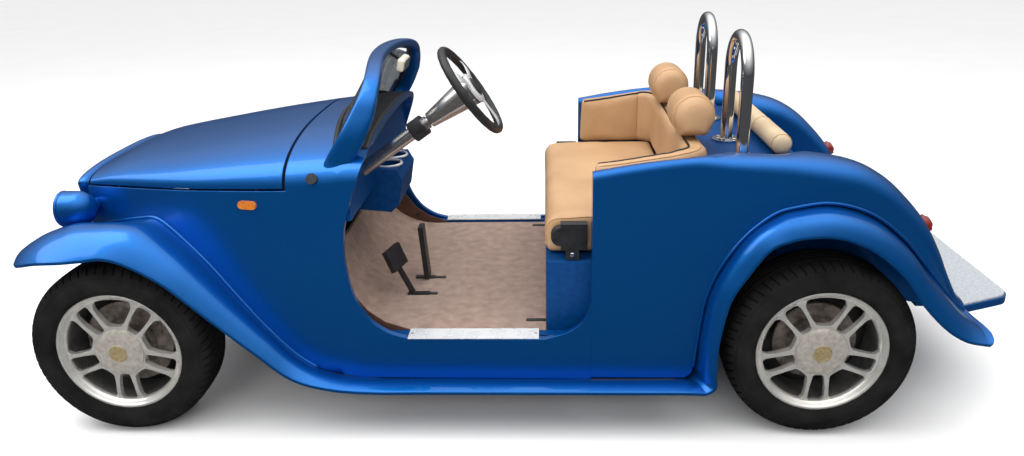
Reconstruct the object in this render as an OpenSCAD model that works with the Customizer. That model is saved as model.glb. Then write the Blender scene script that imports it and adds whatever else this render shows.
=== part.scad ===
// Open-top roadster golf car: fibreglass body with flowing fenders, a bench seat, roll hoops,
// a bag well with a rear step, steered front wheels and a driven rear axle.
// The car faces +X, +Y is its left side and the wheels stand on z = 0.
// Inside the modules x is measured forwards from the rear axle.

/* [Overall] */
// Distance between the axles
wheelbase = 1900; // [1800:5:2000]
// Front axle to the tip of the front fender
front_overhang = 283; // [270:1:320]
// Rear axle to the rear edge of the step
rear_overhang = 615; // [560:1:680]
// Distance between the middles of the left and right tyres
track = 964; // [955:1:985]
// Body side to the car's middle, at the running board
body_half_w = 515; // [505:1:520]
// Outer lip of the fenders beyond the body side
fender_out = 70; // [60:1:95]

/* [Wheels] */
// Outer radius of the tyre
tyre_r = 252; // [240:1:258]
// Width of the tyre
tyre_w = 175; // [150:1:185]
// Radius of the rim's outer flange
rim_r = 174; // [165:1:180]
// Radius of the hub cap
cap_r = 68; // [60:1:74]
// Number of spoke pairs
spoke_pairs = 5; // [4:1:6]
// Width of one spoke
spoke_w = 14; // [11:1:20]
// Radius of the brake disc
disc_r = 122; // [110:1:128]
// Radius of the stub axles
stub_r = 15; // [12:0.5:18]
// Running clearance of a wheel on its stub axle
bearing_gap = 0.05; // [0.02:0.01:0.1]

/* [Steering] */
// Kingpin to the car's middle
kingpin_y = 372; // [360:1:376]
// Radius of the kingpins
kingpin_r = 11; // [9:0.5:13]
// Length of the steering arms
steer_arm = 110; // [90:1:120]
// Outside diameter of the steering wheel
steering_d = 284; // [280:2:340]
// Radius of the steering wheel's rim
steering_rim_r = 12; // [10:0.5:15]
// Slope of the steering column below the horizontal
column_slope = 35; // [30:1:40]
// Radius of the column tube
column_r = 19; // [16:0.5:22]

/* [Body] */
// Thickness of the front body's wall
wall = 18; // [14:1:22]
// Thickness of the fender moulding
fender_t = 8; // [6:0.5:12]
// Height of the running board
board_z = 150; // [140:1:160]
// Height of the door sill
sill_z = 272; // [262:1:280]
// Width of the gap round the hood
hood_gap = 6; // [5:0.5:12]
// Width of the open joint between hood and cowl
cowl_gap = 9; // [6:1:16]
// Height of the deck behind the seat
deck_z = 728; // [715:1:740]
// Inner wall of the bag well to the car's middle
well_half_w = 340; // [330:1:350]

/* [Cabin] */
// Top of the floor
floor_z = 264; // [258:1:268]
// Thickness of the floor
floor_t = 12; // [8:1:16]
// Front face of the seat box
seat_front_x = 728; // [715:1:740]
// Top of the seat box
seat_box_z = 478; // [460:1:490]
// Thickness of the seat cushion
cushion_t = 104; // [90:1:115]
// Room for the belts between the seat cushion and the cabin side
belt_space = 39; // [37:1:53]
// Radius of the roll hoops' tube
hoop_r = 17; // [15:0.5:20]
// Middle of a hoop to the edge of the deck
hoop_inset = 160; // [145:1:175]
// Distance between the two legs of a hoop
hoop_w = 200; // [180:2:230]
// Top of the hoops
hoop_top_z = 1056; // [1030:2:1090]
// Radius of a cup hole
cup_r = 39; // [36:0.5:42]
// Depth of a cup hole
cup_depth = 70; // [60:1:90]

/* [Hidden] */
$fn = 48;

paint = "#0d5fb5";
chrome = "#c9ccd0";
tan = "#d9ab78";
black = "#202124";
alloy = "#b9b7b0";
seam = 0.4;          // gap between pieces that touch
eps = 1;             // how far a cutter runs past what it cuts
far = 2000;          // longer than any piece
front_x = wheelbase;
tip_x = front_x + front_overhang;
tail_x = -rear_overhang;
middle_x = (tip_x + tail_x) / 2;
wheel_y = track / 2;
axle_z = tyre_r;
body_low_z = board_z + 5;    // lower edge of the body, just above the running board
bead_gap = 0.8;              // gap between the fender's inner edge and the body

// Curves and lofts

function lerp(a, b, t) = a + (b - a) * t;

function catmull(a, b, c, d, t) =
    (2 * b + (c - a) * t + (2 * a - 5 * b + 4 * c - d) * t * t + (3 * b - a - 3 * c + d) * t * t * t) / 2;

// Row s of a table, counted from 0, with the rows between by a smooth curve
function row_at(table, s) =
    let (i = min(floor(s), len(table) - 2), last = len(table) - 1)
    catmull(table[max(i - 1, 0)], table[i], table[i + 1], table[min(i + 2, last)], s - i);

function resampled(table, steps) =
    [for (k = [0 : (len(table) - 1) * steps]) row_at(table, k / steps)];

function power(v, e) = v <= 0 ? 0 : pow(v, e);
function unit(v) = v / norm(v);
function flat(grid) = [for (row = grid) each row];

// Points of an arc from angle a0 to a1 about c
function arc(c, r, a0, a1, n = 8) =
    [for (i = [0 : n]) let (a = lerp(a0, a1, i / n)) [c[0] + r * cos(a), c[1] + r * sin(a)]];

// Sheet between two grids of points with the same rows and columns
module sheet(outer, inner) {
    rows = len(outer);
    cols = len(outer[0]);
    n = rows * cols;
    function at(i, j, side) = side * n + i * cols + j;
    function pair(a, b, c, d) = [[a, b, c], [a, c, d]];
    faces = concat(
        [for (i = [0 : rows - 2], j = [0 : cols - 2])
            each pair(at(i, j, 0), at(i, j + 1, 0), at(i + 1, j + 1, 0), at(i + 1, j, 0))],
        [for (i = [0 : rows - 2], j = [0 : cols - 2])
            each pair(at(i, j, 1), at(i + 1, j, 1), at(i + 1, j + 1, 1), at(i, j + 1, 1))],
        [for (i = [0 : rows - 2]) each concat(
            pair(at(i, 0, 0), at(i + 1, 0, 0), at(i + 1, 0, 1), at(i, 0, 1)),
            pair(at(i, cols - 1, 0), at(i, cols - 1, 1), at(i + 1, cols - 1, 1), at(i + 1, cols - 1, 0)))],
        [for (j = [0 : cols - 2]) each concat(
            pair(at(0, j, 0), at(0, j, 1), at(0, j + 1, 1), at(0, j + 1, 0)),
            pair(at(rows - 1, j, 0), at(rows - 1, j + 1, 0), at(rows - 1, j + 1, 1), at(rows - 1, j, 1)))]);
    polyhedron(points = concat(flat(outer), flat(inner)), faces = faces);
}

// Solid through closed rings of points, with flat ends
module loft(rings) {
    rows = len(rings);
    cols = len(rings[0]);
    function at(i, j) = i * cols + j % cols;
    faces = concat(
        [for (i = [0 : rows - 2], j = [0 : cols - 1]) each [
            [at(i, j), at(i, j + 1), at(i + 1, j + 1)], [at(i, j), at(i + 1, j + 1), at(i + 1, j)]]],
        [[for (j = [cols - 1 : -1 : 0]) at(0, j)], [for (j = [0 : cols - 1]) at(rows - 1, j)]]);
    polyhedron(points = flat(rings), faces = faces);
}

// Outline in x and z, as thick as w along y from y0
module side_plate(points, y0, w)
    translate([0, y0 + w, 0]) rotate([90, 0, 0]) linear_extrude(w) polygon(points);

module both_sides() {
    children();
    mirror([0, 1, 0]) children();
}

module rod(a, b, r) {
    d = b - a;
    translate(a)
        rotate([0, acos(d[2] / norm(d)), atan2(d[1], d[0])]) cylinder(r = r, h = norm(d));
}

module box(low, high) translate(low) cube(high - low);

module placed() translate([-middle_x, 0, 0]) children();

// Outlines seen from the side

function moved(points, d) = [for (p = points) p + d];

// Bead where the fender meets the body: x and z, from the nose to the tail
bead_front = [[front_x + 150, 532], [front_x + 42, 561], [front_x - 33, 577], [front_x - 76, 582],
    [front_x - 116, 566], [front_x - 173, 525], [front_x - 242, 464], [front_x - 322, 376],
    [front_x - 401, 288], [front_x - 481, 210], [front_x - 563, 165], [front_x - 660, board_z]];
bead_rear = [[332, board_z + 12], [329, 190], [322, 270], [308, 389], [275, 481], [217, 567], [146, 626],
    [86, 644], [12, 652], [-63, 637], [-130, 604], [-201, 546], [-248, 493], [-300, 430], [-350, 372],
    [-392, 334], [-420, 306]];

quarter_x = 607;
nose_top_z = 655;
nose_crown = 34;

// Door opening, from the top of the cowl round the sill to the quarter panel
door_front = [[front_x - 705, 790], [front_x - 695, 757], [front_x - 674, 697], [front_x - 650, 629],
    [front_x - 635, 559], [front_x - 635, 473], [front_x - 654, 385], [front_x - 691, 324],
    [front_x - 740, 288], [front_x - 790, sill_z]];
door_rear = [[731, sill_z], [664, sill_z + 25], [624, sill_z + 62], [quarter_x, sill_z + 120]];

// Front body

// Sections of the front body: x, half width at the running board and at the belt, belt and top heights
front_rows = [
    [front_x + 150, body_half_w - 200, body_half_w - 232, nose_top_z, nose_top_z + nose_crown],
    [front_x + 80, body_half_w - 163, body_half_w - 209, 658, 715],
    [front_x, body_half_w - 123, body_half_w - 181, 661, 732],
    [front_x - 110, body_half_w - 83, body_half_w - 144, 665, 750],
    [front_x - 210, body_half_w - 55, body_half_w - 115, 669, 766],
    [front_x - 340, body_half_w - 31, body_half_w - 86, 674, 785],
    [front_x - 485, body_half_w - 18, body_half_w - 59, 680, 803],
    [front_x - 610, body_half_w - 12, body_half_w - 45, 690, 813],
    [front_x - 720, body_half_w - 8, body_half_w - 37, 700, 815],
    [quarter_x + seam, body_half_w - 1, body_half_w - 15, 710, 815]];
crown_power = 2.5;
side_bulge = 7;
side_steps = 4;
crown_steps = 7;

// Half section from the running board to the top, drawn in by t
function front_half(r, t) = concat(
    [for (k = [0 : side_steps - 1]) let (u = k / side_steps)
        [r[0], lerp(r[1], r[2], u) + side_bulge * sin(180 * u) - t, lerp(body_low_z, r[3], u)]],
    [for (k = [0 : crown_steps]) let (a = 90 * k / crown_steps)
        [r[0], (r[2] - t) * power(cos(a), 2 / crown_power),
            r[3] + (r[4] - t - r[3]) * power(sin(a), 2 / crown_power)]]);

function mirrored(half) = [for (k = [len(half) - 2 : -1 : 0]) [half[k][0], -half[k][1], half[k][2]]];
function front_section(r, t) = let (half = front_half(r, t)) concat(half, mirrored(half));

front_stations = resampled(front_rows, 2);

module front_shell(t)
    sheet([for (r = front_stations) front_section(r, 0)], [for (r = front_stations) front_section(r, t)]);

// The front body filled to its outside, drawn in by t
module front_solid(t) loft([for (r = front_stations) front_section(r, t)]);

// Hood line: its height at the nose and at the cowl
hood_front_x = front_x + 146;
hood_rear_x = front_x - 485;
hood_front_z = 650;
hood_rear_z = 682;
hood_t = 10;

// Side view of everything above the hood line, drawn in by a gap g and the cowl's gap c
function hood_outline(g, c) = [
    [hood_front_x - g, hood_front_z + g], [hood_rear_x + c, hood_rear_z + g],
    [hood_rear_x + c, hood_rear_z + 300], [hood_front_x - g, hood_rear_z + 300]];

module front_body() color(paint) difference() {
    front_shell(wall);
    side_plate(hood_outline(0, 0), -far / 2, far);
    side_plate(concat(moved(resampled(bead_front, 2), [0, bead_gap]),
        [[front_x - 660, 0], [tip_x, 0], [tip_x, 532]]), -far / 2, far);
    side_plate(concat(resampled(door_front, 2), resampled(door_rear, 3),
        [[quarter_x - eps, sill_z + 120], [quarter_x - eps, far / 2], [front_x - 705, far / 2]]),
        -far / 2, far);
}

module hood() color(paint) intersection() {
    front_shell(hood_t);
    side_plate(hood_outline(hood_gap, cowl_gap), -far / 2, far);
}

// Rubber buffers that carry the hood's side edges
buffer_r = 4;

module hood_buffers() color(black) both_sides() {
    slope = atan2(hood_rear_z - hood_front_z, hood_front_x - hood_rear_x);
    for (x = [front_x + 40, front_x - 400]) {
        z = lerp(hood_front_z, hood_rear_z, (hood_front_x - x) / (hood_front_x - hood_rear_x));
        translate([x, side_y(x, z) - 7, z]) rotate([0, slope, 0]) translate([0, 0, seam])
            cylinder(r = buffer_r, h = hood_gap - 2 * seam);
    }
}

// Nose with its grille

nose_x = front_x + 150 + seam;
nose_t = 38;
nose_bevel = 14;
nose_low_z = 330;
nose_top_w = body_half_w * 0.5456;
nose_low_w = body_half_w * 0.3592;
grille_inset = 40;
grille_bars = 13;
grille_bar_r = 4;

// Half width of the nose at height z
function nose_w(z, inset) =
    let (u = (z - nose_low_z) / (nose_top_z - nose_low_z))
    lerp(nose_low_w, nose_top_w, power(u, 0.8)) - inset;

// Height of the nose's arched top at half width y
function nose_arch(y, inset) =
    let (w = nose_w(nose_top_z, 0) - inset)
    nose_top_z - inset + nose_crown * power(1 - power(abs(y) / w, crown_power), 1 / crown_power);

function nose_ring(x, inset) =
    let (low = nose_low_z + inset, high = nose_top_z - inset, w = nose_w(nose_top_z, 0) - inset, n = 6,
        half = concat([for (k = [0 : n - 1]) let (z = lerp(low, high, k / n)) [x, nose_w(z, inset), z]],
            [for (k = [0 : n]) let (y = w * power(cos(90 * k / n), 2 / crown_power))
                [x, y, nose_arch(y, inset)]]))
    concat(half, [for (k = [len(half) - 2 : -1 : 0]) [x, -half[k][1], half[k][2]]]);

module nose() color(paint) difference() {
    loft([
        nose_ring(nose_x + nose_t, nose_bevel), nose_ring(nose_x + nose_t - nose_bevel, 2),
        nose_ring(nose_x, 0)]);
    loft([nose_ring(nose_x + nose_t + eps, grille_inset), nose_ring(nose_x - eps, grille_inset)]);
}

module grille() {
    mid_x = nose_x + nose_t / 2;
    low = nose_low_z + grille_inset;
    high = nose_top_z - grille_inset;
    color(chrome) {
        for (k = [0 : grille_bars - 1]) {
            y = lerp(-1, 1, (k + 0.5) / grille_bars) * nose_w(high, grille_inset);
            edge = grille_inset + grille_bar_r + 1;
            foot = [for (z = [low : 4 : high]) if (nose_w(z, edge) > abs(y)) z][0];
            head = min(nose_arch(abs(y) + grille_bar_r, grille_inset), nose_arch(y, grille_inset));
            rod([mid_x, y, foot + seam], [mid_x, y, head - seam], grille_bar_r);
        }
        for (z = [lerp(low, high, 0.4), lerp(low, high, 0.9)]) {
            w = nose_w(z - 4, grille_inset) - seam;
            box([mid_x - 2, -w, z - 4], [mid_x + 2, w, z + 4]);
        }
    }
}

// Fenders

// Sections of a fender from its tip to its tail: inner edge x, y, z, then lip x, y, z, then crown height
lip_y = body_half_w + fender_out;
fender_rows = [
    [tip_x - 10, body_half_w - 67, 500, tip_x - 6, lip_y - 109, 498, 3],
    [tip_x - 36, body_half_w - 141, 508, tip_x - 46, lip_y - 37, 512, 24],
    [front_x + 190, body_half_w - 197, 524, front_x + 160, lip_y - 7, 530, 46],
    [front_x + 110, body_half_w - 199, 540, front_x + 90, lip_y, 535, 60],
    [front_x + 42, body_half_w - 173, 558, front_x + 31, lip_y, 540, 56],
    [front_x - 33, body_half_w - 145, 574, front_x - 24, lip_y, 545, 46],
    [front_x - 90, body_half_w - 125, 574, front_x - 85, lip_y, 526, 42],
    [front_x - 173, body_half_w - 97, 522, front_x - 169, lip_y, 475, 32],
    [front_x - 242, body_half_w - 77, 461, front_x - 235, lip_y, 414, 28],
    [front_x - 322, body_half_w - 57, 373, front_x - 310, lip_y, 343, 25],
    [front_x - 401, body_half_w - 42, 285, front_x - 395, lip_y, 266, 22],
    [front_x - 481, body_half_w - 29, 207, front_x - 479, lip_y, 193, 18],
    [front_x - 563, body_half_w - 23, 162, front_x - 570, lip_y, 162, 14],
    [front_x - 680, body_half_w - 19, board_z - 3, front_x - 690, lip_y, board_z, 11],
    [(front_x + 100) / 2, body_half_w - 15, board_z - 3, (front_x + 100) / 2, lip_y, board_z, 10],
    [420, body_half_w - 15, board_z - 3, 400, lip_y, board_z, 10],
    [338, body_half_w - 31, board_z + 2, 292, lip_y, board_z + 3, 9],
    [326, body_half_w - 31, 195, 285, lip_y, 205, 12],
    [318, body_half_w - 31, 275, 284, lip_y, 290, 15],
    [303, body_half_w - 31, 388, 262, lip_y, 412, 18],
    [270, body_half_w - 31, 478, 224, lip_y, 484, 20],
    [213, body_half_w - 31, 563, 171, lip_y, 559, 22],
    [144, body_half_w - 31, 621, 116, lip_y, 584, 24],
    [86, body_half_w - 31, 640, 72, lip_y, 592, 24],
    [12, body_half_w - 31, 648, 12, lip_y, 592, 24],
    [-62, body_half_w - 31, 632, -54, lip_y, 573, 24],
    [-128, body_half_w - 31, 599, -114, lip_y, 538, 24],
    [-198, body_half_w - 33, 541, -180, lip_y, 478, 23],
    [-246, body_half_w - 35, 488, -238, lip_y, 400, 21],
    [-304, body_half_w - 39, 425, -302, lip_y - 1, 336, 19],
    [-352, body_half_w - 43, 367, -357, lip_y - 4, 302, 16],
    [-394, body_half_w - 47, 330, -406, lip_y - 9, 290, 11],
    [-412, body_half_w - 50, 322, -434, lip_y - 16, 305, 5]];
ridge_skew = 1.35;
across_steps = 7;

function inner_edge(r) = [r[0], r[1], r[2]];
function lip_edge(r) = [r[3], r[4], r[5]];

// Direction in which a fender's crown rises at row i
function fender_rise(rows, i) =
    let (a = rows[max(i - 1, 0)], b = rows[min(i + 1, len(rows) - 1)],
        along = inner_edge(b) + lip_edge(b) - inner_edge(a) - lip_edge(a))
    unit(cross(lip_edge(rows[i]) - inner_edge(rows[i]), along));

function fender_section(rows, i, t) =
    let (r = rows[i], up = fender_rise(rows, i))
    [for (k = [0 : across_steps]) let (u = k / across_steps)
        lerp(inner_edge(r), lip_edge(r), u) + up * (r[6] * sin(180 * pow(u, ridge_skew)) - t)];

module fender() {
    rows = resampled(fender_rows, 2);
    color(paint) sheet(
        [for (i = [0 : len(rows) - 1]) fender_section(rows, i, fender_t)],
        [for (i = [0 : len(rows) - 1]) fender_section(rows, i, 0)]);
}

// Rear body

deck_half_w = body_half_w - 116;

// Sections of a quarter panel: x, half width at the running board and at the shoulder, top height,
// shoulder depth, half width inside and bottom height
quarter_rows = [
    [quarter_x, body_half_w - 1, body_half_w - 15, 734, 24, body_half_w - 60, body_low_z],
    [480, body_half_w, body_half_w - 15, 755, 26, body_half_w - 60, body_low_z],
    [350, body_half_w, body_half_w - 16, 769, 30, body_half_w - 60, body_low_z],
    [250, body_half_w, body_half_w - 17, 770, 40, deck_half_w, 340],
    [130, body_half_w, body_half_w - 17, 764, 50, deck_half_w, 340],
    [40, body_half_w, body_half_w - 19, 761, 60, well_half_w, 340],
    [-70, body_half_w - 2, body_half_w - 25, 739, 64, well_half_w, 340],
    [-150, body_half_w - 4, body_half_w - 32, 698, 66, well_half_w, 340],
    [-215, body_half_w - 6, body_half_w - 39, 640, 66, well_half_w, 330],
    [-270, body_half_w - 8, body_half_w - 46, 577, 62, well_half_w, 322],
    [-312, body_half_w - 10, body_half_w - 52, 508, 56, well_half_w, 314],
    [-345, body_half_w - 12, body_half_w - 56, 440, 48, well_half_w, 306],
    [-378, body_half_w - 14, body_half_w - 58, 378, 40, well_half_w, 300],
    [-402, body_half_w - 17, body_half_w - 60, 350, 28, well_half_w, 296]];
cap_power = 2.4;
cap_steps = 9;
quarter_steps = 4;

function quarter_ring(r, grow = 0) =
    let (inside = max(r[5], well_half_w), low = max(r[6], body_low_z), shoulder = r[3] - r[4],
        mid = (r[2] + inside) / 2, half = (r[2] - inside) / 2 + grow)
    concat(
        [for (k = [0 : quarter_steps - 1]) let (u = k / quarter_steps)
            [r[0], lerp(r[1], r[2], u) + side_bulge * sin(180 * u), lerp(low, shoulder, u)]],
        [for (k = [0 : cap_steps]) let (a = 180 * k / cap_steps, c = cos(a))
            [r[0], mid + half * sign(c) * power(abs(c), 2 / cap_power),
                shoulder + (r[4] + grow) * power(sin(a), 2 / cap_power)]],
        [[r[0], inside, low]]);

arch_inner_y = wheel_y - tyre_w / 2 - 16;

module quarter_solid(grow) loft([for (r = resampled(quarter_rows, 2)) quarter_ring(r, grow)]);

module quarter() color(paint) difference() {
    quarter_solid(0);
    side_plate(concat(moved(resampled(bead_rear, 2), [bead_gap, bead_gap]),
        [[-far / 2, 300], [-far / 2, 0], [332 + bead_gap, 0]]), arch_inner_y, far);
}

// Deck behind the seat, bulkhead and floor of the bag well, as one bent sheet
deck_front_x = 292;
deck_step_x = 130;
deck_rear_x = 44;
deck_t = 16;
well_floor_z = 372;
well_rear_x = -338;

module rear_deck() color(paint) {
    w = well_half_w - seam;
    side_plate([
        [deck_step_x + eps, deck_z], [deck_rear_x, deck_z], [deck_rear_x, well_floor_z],
        [well_rear_x, well_floor_z],
        [well_rear_x, well_floor_z - deck_t], [deck_rear_x + deck_t, well_floor_z - deck_t],
        [deck_rear_x + deck_t, deck_z - deck_t], [deck_step_x + eps, deck_z - deck_t]], -w, 2 * w);
    v = deck_half_w - seam - 2;
    side_plate([
        [deck_front_x, deck_z], [deck_step_x, deck_z], [deck_step_x, deck_z - deck_t],
        [deck_front_x - deck_t, deck_z - deck_t],
        [deck_front_x - deck_t, well_floor_z], [deck_front_x, well_floor_z]], -v, 2 * v);
}

// Ledge under the step plate, with round rear corners
step_z = 300;
step_half_w = well_half_w - 28;
step_ear_w = 66;
step_ear_x = -405;
step_corner = 60;
step_plate_t = 6;
ledge_t = 22;

module step_outline(inset) {
    w = step_half_w - inset;
    r = step_corner - inset;
    x0 = well_rear_x - seam;
    ear = w + step_ear_w;
    taper = atan2(step_ear_w, step_ear_x - tail_x - step_corner);
    side = concat([[x0, w], [step_ear_x - inset, w], [step_ear_x - inset, ear]],
        arc([tail_x + inset + r, w - r], r, 90 + taper, 180));
    polygon(concat(side, [for (k = [len(side) - 1 : -1 : 0]) [side[k][0], -side[k][1]]]));
}

module step_ledge() color(paint) {
    translate([0, 0, step_z - step_plate_t - ledge_t]) linear_extrude(ledge_t) step_outline(0);
    box([well_rear_x - seam - deck_t, -step_half_w, step_z - step_plate_t - eps],
        [well_rear_x - seam, step_half_w, well_floor_z]);
}

module step_plate() color("gainsboro") difference() {
    translate([0, 0, step_z - step_plate_t]) linear_extrude(step_plate_t) step_outline(6);
    box([well_rear_x - deck_t - 2 * seam, -far / 2, 0], [far, far / 2, far]);
}

// Windshield

// Middle line of the frame: half width and height, from the foot to the top
shield_top_z = 980;
shield_foot_z = 738;
shield_half_w = body_half_w - 89;
shield_rows = [
    [shield_half_w - 14, shield_foot_z], [shield_half_w, 781], [shield_half_w - 1, 823],
    [shield_half_w - 14, 869], [shield_half_w - 38, 911], [shield_half_w - 86, 945],
    [shield_half_w * 0.587, 967], [shield_half_w * 0.305, 977], [0, shield_top_z]];
shield_base_x = front_x - 575;
shield_base_z = 815;
shield_rake = 0.62;
shield_sweep = 80;
frame_w = 26;
foot_w = 36;
frame_t = 74;
foot_t = 112;
glass_t = 5;

// Point on the curved windshield at half width y and height z
function shield_point(y, z) =
    let (sweep = shield_sweep * pow(y / (shield_half_w + 10), 2))
    [shield_base_x - (z - shield_base_z) * shield_rake - sweep, y, z];

function shield_path() =
    let (half = resampled(shield_rows, 2), n = len(half))
    concat([for (p = half) [p[0], p[1]]], [for (k = [n - 2 : -1 : 0]) [-half[k][0], half[k][1]]]);

function shield_ring(path, i) =
    let (p = path[i], a = path[max(i - 1, 0)], b = path[min(i + 1, len(path) - 1)],
        along = unit(shield_point(b[0], b[1]) - shield_point(a[0], a[1])),
        back = unit([-1, 0, -shield_rake]),
        side = unit(cross(back, along)),
        thick = unit(cross(along, side)),
        up = min(1, (p[1] - shield_foot_z) / 150))
    [for (k = [0 : 11]) let (c = cos(30 * k), s = -sin(30 * k))
        shield_point(p[0], p[1])
            + side * lerp(foot_w, frame_w, up) / 2 * sign(c) * power(abs(c), 0.6)
            + thick * lerp(foot_t, frame_t, up) / 2 * sign(s) * power(abs(s), 0.6)];

module shield_tube() {
    path = shield_path();
    loft([for (i = [0 : len(path) - 1]) shield_ring(path, i)]);
}

module windshield_frame() color(paint) difference() {
    shield_tube();
    front_solid(-seam);
}

glass_steps = 8;
glass_edge = frame_w / 2 + 2;

// Rows of the glass keep inside the frame's middle line by its half width
function glass_row(i) =
    let (d = shield_rows[i + 1] - shield_rows[max(i - 1, 0)], n = unit([d[1], -d[0]]))
    shield_rows[i] - n * (i < 3 ? foot_w / 2 + 2 : glass_edge);

function glass_grid(t) =
    [for (i = [0 : len(shield_rows) - 2]) [for (j = [0 : glass_steps])
        let (row = glass_row(i)) shield_point(lerp(-1, 1, j / glass_steps) * row[0], row[1]) + [t, 0, 0]]];

module windshield_glass() color("lightblue", 0.35) difference() {
    sheet(glass_grid(-glass_t / 2), glass_grid(glass_t / 2));
    front_solid(-seam);
}

mirror_w = 130;
mirror_h = 48;
mirror_t = 26;

module rear_mirror() {
    back = unit([-1, 0, -shield_rake]);
    seat = shield_point(0, shield_top_z) + back * (frame_t / 2 + seam);
    centre = seat + back * 28 + [0, 0, -24];
    half = [mirror_t, mirror_w, mirror_h] / 2;
    color("ivory") box(centre - half, centre + half);
    color(black) rod(seat, seat + back * 26, 7);
}

// Cabin

floor_rear_x = seat_front_x + seam;
toe_r = 210;
toe_foot_x = front_x - 745;
cabin_half_w = body_half_w - 62;

module floor() color("rosybrown") side_plate(concat(
    [[floor_rear_x, floor_z], [toe_foot_x, floor_z]],
    arc([toe_foot_x, floor_z + toe_r], toe_r, -90, -14),
    [for (p = arc([toe_foot_x, floor_z + toe_r], toe_r + floor_t, -14, -90)) p],
    [[floor_rear_x, floor_z - floor_t]]), -cabin_half_w, 2 * cabin_half_w);

kick_t = 4;

module kick_panels() color("saddlebrown") both_sides() {
    side_plate(concat([[toe_foot_x, floor_z + seam]],
        arc([toe_foot_x, floor_z + toe_r], toe_r - 1.2, -86, -16),
        [[front_x - 616, floor_z + 200], [front_x - 636, floor_z + 120], [front_x - 674, floor_z + 66],
            [front_x - 722, floor_z + 30], [front_x - 790, floor_z + 7], [front_x - 790, floor_z + seam]]),
        cabin_half_w - kick_t, kick_t);
}

sill_front_x = front_x - 690;

outrigger_x = [seat_front_x - 10, seat_front_x + 380];
outrigger_w = 40;

// Beams inside the sills, with outriggers that carry the running boards
module sill_beams() color(paint) both_sides() {
    board_low = board_z - 3 - fender_t - 1;
    box([seat_front_x - 60, cabin_half_w + seam, board_low - 6],
        [sill_front_x, body_half_w - wall - 16, sill_z - 2]);
    for (x = outrigger_x)
        box([x, cabin_half_w + seam, board_low - 6], [x + outrigger_w, body_half_w + 5, board_low]);
}

plate_w = 58;
plate_t = 3;
plate_x = seat_front_x + 20;
plate_len = sill_front_x - plate_x - 102;

module sill_plates() color("whitesmoke") both_sides()
    translate([plate_x, cabin_half_w + 1, sill_z + seam]) cube([plate_len, plate_w, plate_t]);

dash_x = front_x - 655;
dash_t = 20;

module dash() color(paint) difference() {
    intersection() {
        front_solid(wall + seam);
        box([dash_x, -far / 2, 600], [dash_x + dash_t, far / 2, far]);
    }
    rod(column_point(-400), column_point(far), column_r + seam);
    box([dash_x - eps, -console_half_w - seam, 0], [far, console_half_w + seam, console_top_z + seam]);
}

console_half_w = 122;
console_rear_x = front_x - 735;
console_top_z = 642;
console_low_z = 500;
console_front_x = front_x - 592;
cup_x = front_x - 682;
cup_y = 52;

module console() color(paint) difference() {
    side_plate([
        [console_rear_x + 18, console_top_z], [console_rear_x, console_top_z - 34],
        [console_rear_x + 14, console_low_z + 30], [console_rear_x + 40, console_low_z + 6],
        [console_front_x, console_low_z + 16], [console_front_x, console_top_z]],
        -console_half_w, 2 * console_half_w);
    for (y = [-cup_y, cup_y])
        translate([cup_x, y, console_top_z - cup_depth]) cylinder(r = cup_r, h = cup_depth + eps);
}

// Steering

steer_y = body_half_w - 265;
steer_x = front_x - 968;
steer_z = 905;

// Point on the column's axis, d below the steering wheel's plane
function column_point(d) = [steer_x + d * cos(column_slope), steer_y, steer_z - d * sin(column_slope)];

hub_len = 150;
shaft_r = 13;
column_len = 440;

module on_column(d) translate(column_point(d)) rotate([0, 90 + column_slope, 0]) children();

module steering_column() color(chrome) {
    on_column(hub_len + 3) cylinder(r = column_r, h = column_len - hub_len - 3);
    on_column(hub_len - 34) cylinder(r = shaft_r, h = 60);
}

module column_switch() color(black) difference() {
    union() {
        on_column(hub_len + 14) cylinder(r = column_r + 11, h = 42);
        on_column(hub_len + 35) rotate([90, 0, 0]) cylinder(r = 13, h = column_r + 34);
    }
    on_column(hub_len) cylinder(r = column_r + seam, h = 90);
}

hub_r = 44;

module steering_hub() color(alloy) on_column(-6 + seam) difference() {
    cylinder(r1 = hub_r, r2 = column_r + 3, h = hub_len);
    translate([0, 0, hub_len - 40]) cylinder(r = shaft_r + bearing_gap, h = 60);
}

module steering_wheel() color(black) on_column(0) {
    r = steering_d / 2 - steering_rim_r;
    rotate_extrude($fn = 64) translate([r, 0]) circle(r = steering_rim_r, $fn = 24);
    difference() {
        for (a = [0, 120, 240]) rotate(a) translate([0, -13, -14]) cube([r, 26, 4]);
        translate([0, 0, -10]) cylinder(r = 20, h = 40, center = true);
    }
    translate([0, 0, -16]) difference() {
        cylinder(r = 46, h = 10);
        translate([0, 0, -eps]) cylinder(r = 20, h = 4);
    }
}

// Pedals

brake_x = front_x - 712;
brake_y = 200;
accel_x = front_x - 790;
accel_y = 75;
pedal_foot_t = 6;

module brake_pedal() color(black) {
    translate([brake_x, brake_y, 386]) rotate([0, 24, -15]) box([-8, -45, -34], [8, 45, 34]);
    rod([toe_foot_x - 14, brake_y, floor_z + pedal_foot_t + 2], [brake_x + 6, brake_y, 384], 9);
    box([brake_x - 100, brake_y - 9, floor_z + seam], [toe_foot_x, brake_y + 9, floor_z + pedal_foot_t]);
}

module accelerator() color(black) {
    translate([accel_x, accel_y, floor_z + pedal_foot_t - eps]) rotate([0, 4, 0])
        box([-7, -24, 0], [9, 24, 175]);
    box([accel_x - 22, accel_y - 9, floor_z + seam], [accel_x + 40, accel_y + 9, floor_z + pedal_foot_t]);
}

// Seat

seat_wall = 12;
seat_rear_x = 356;

module seat_box() color(paint) difference() {
    box([seat_rear_x, -cabin_half_w + seam, frame_top_z + seam],
        [seat_front_x, cabin_half_w - seam, seat_box_z]);
    box([seat_rear_x + seat_wall, -cabin_half_w + seat_wall, frame_top_z - eps],
        [seat_front_x - seat_wall, cabin_half_w - seat_wall, seat_box_z - seat_wall]);
}

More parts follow.
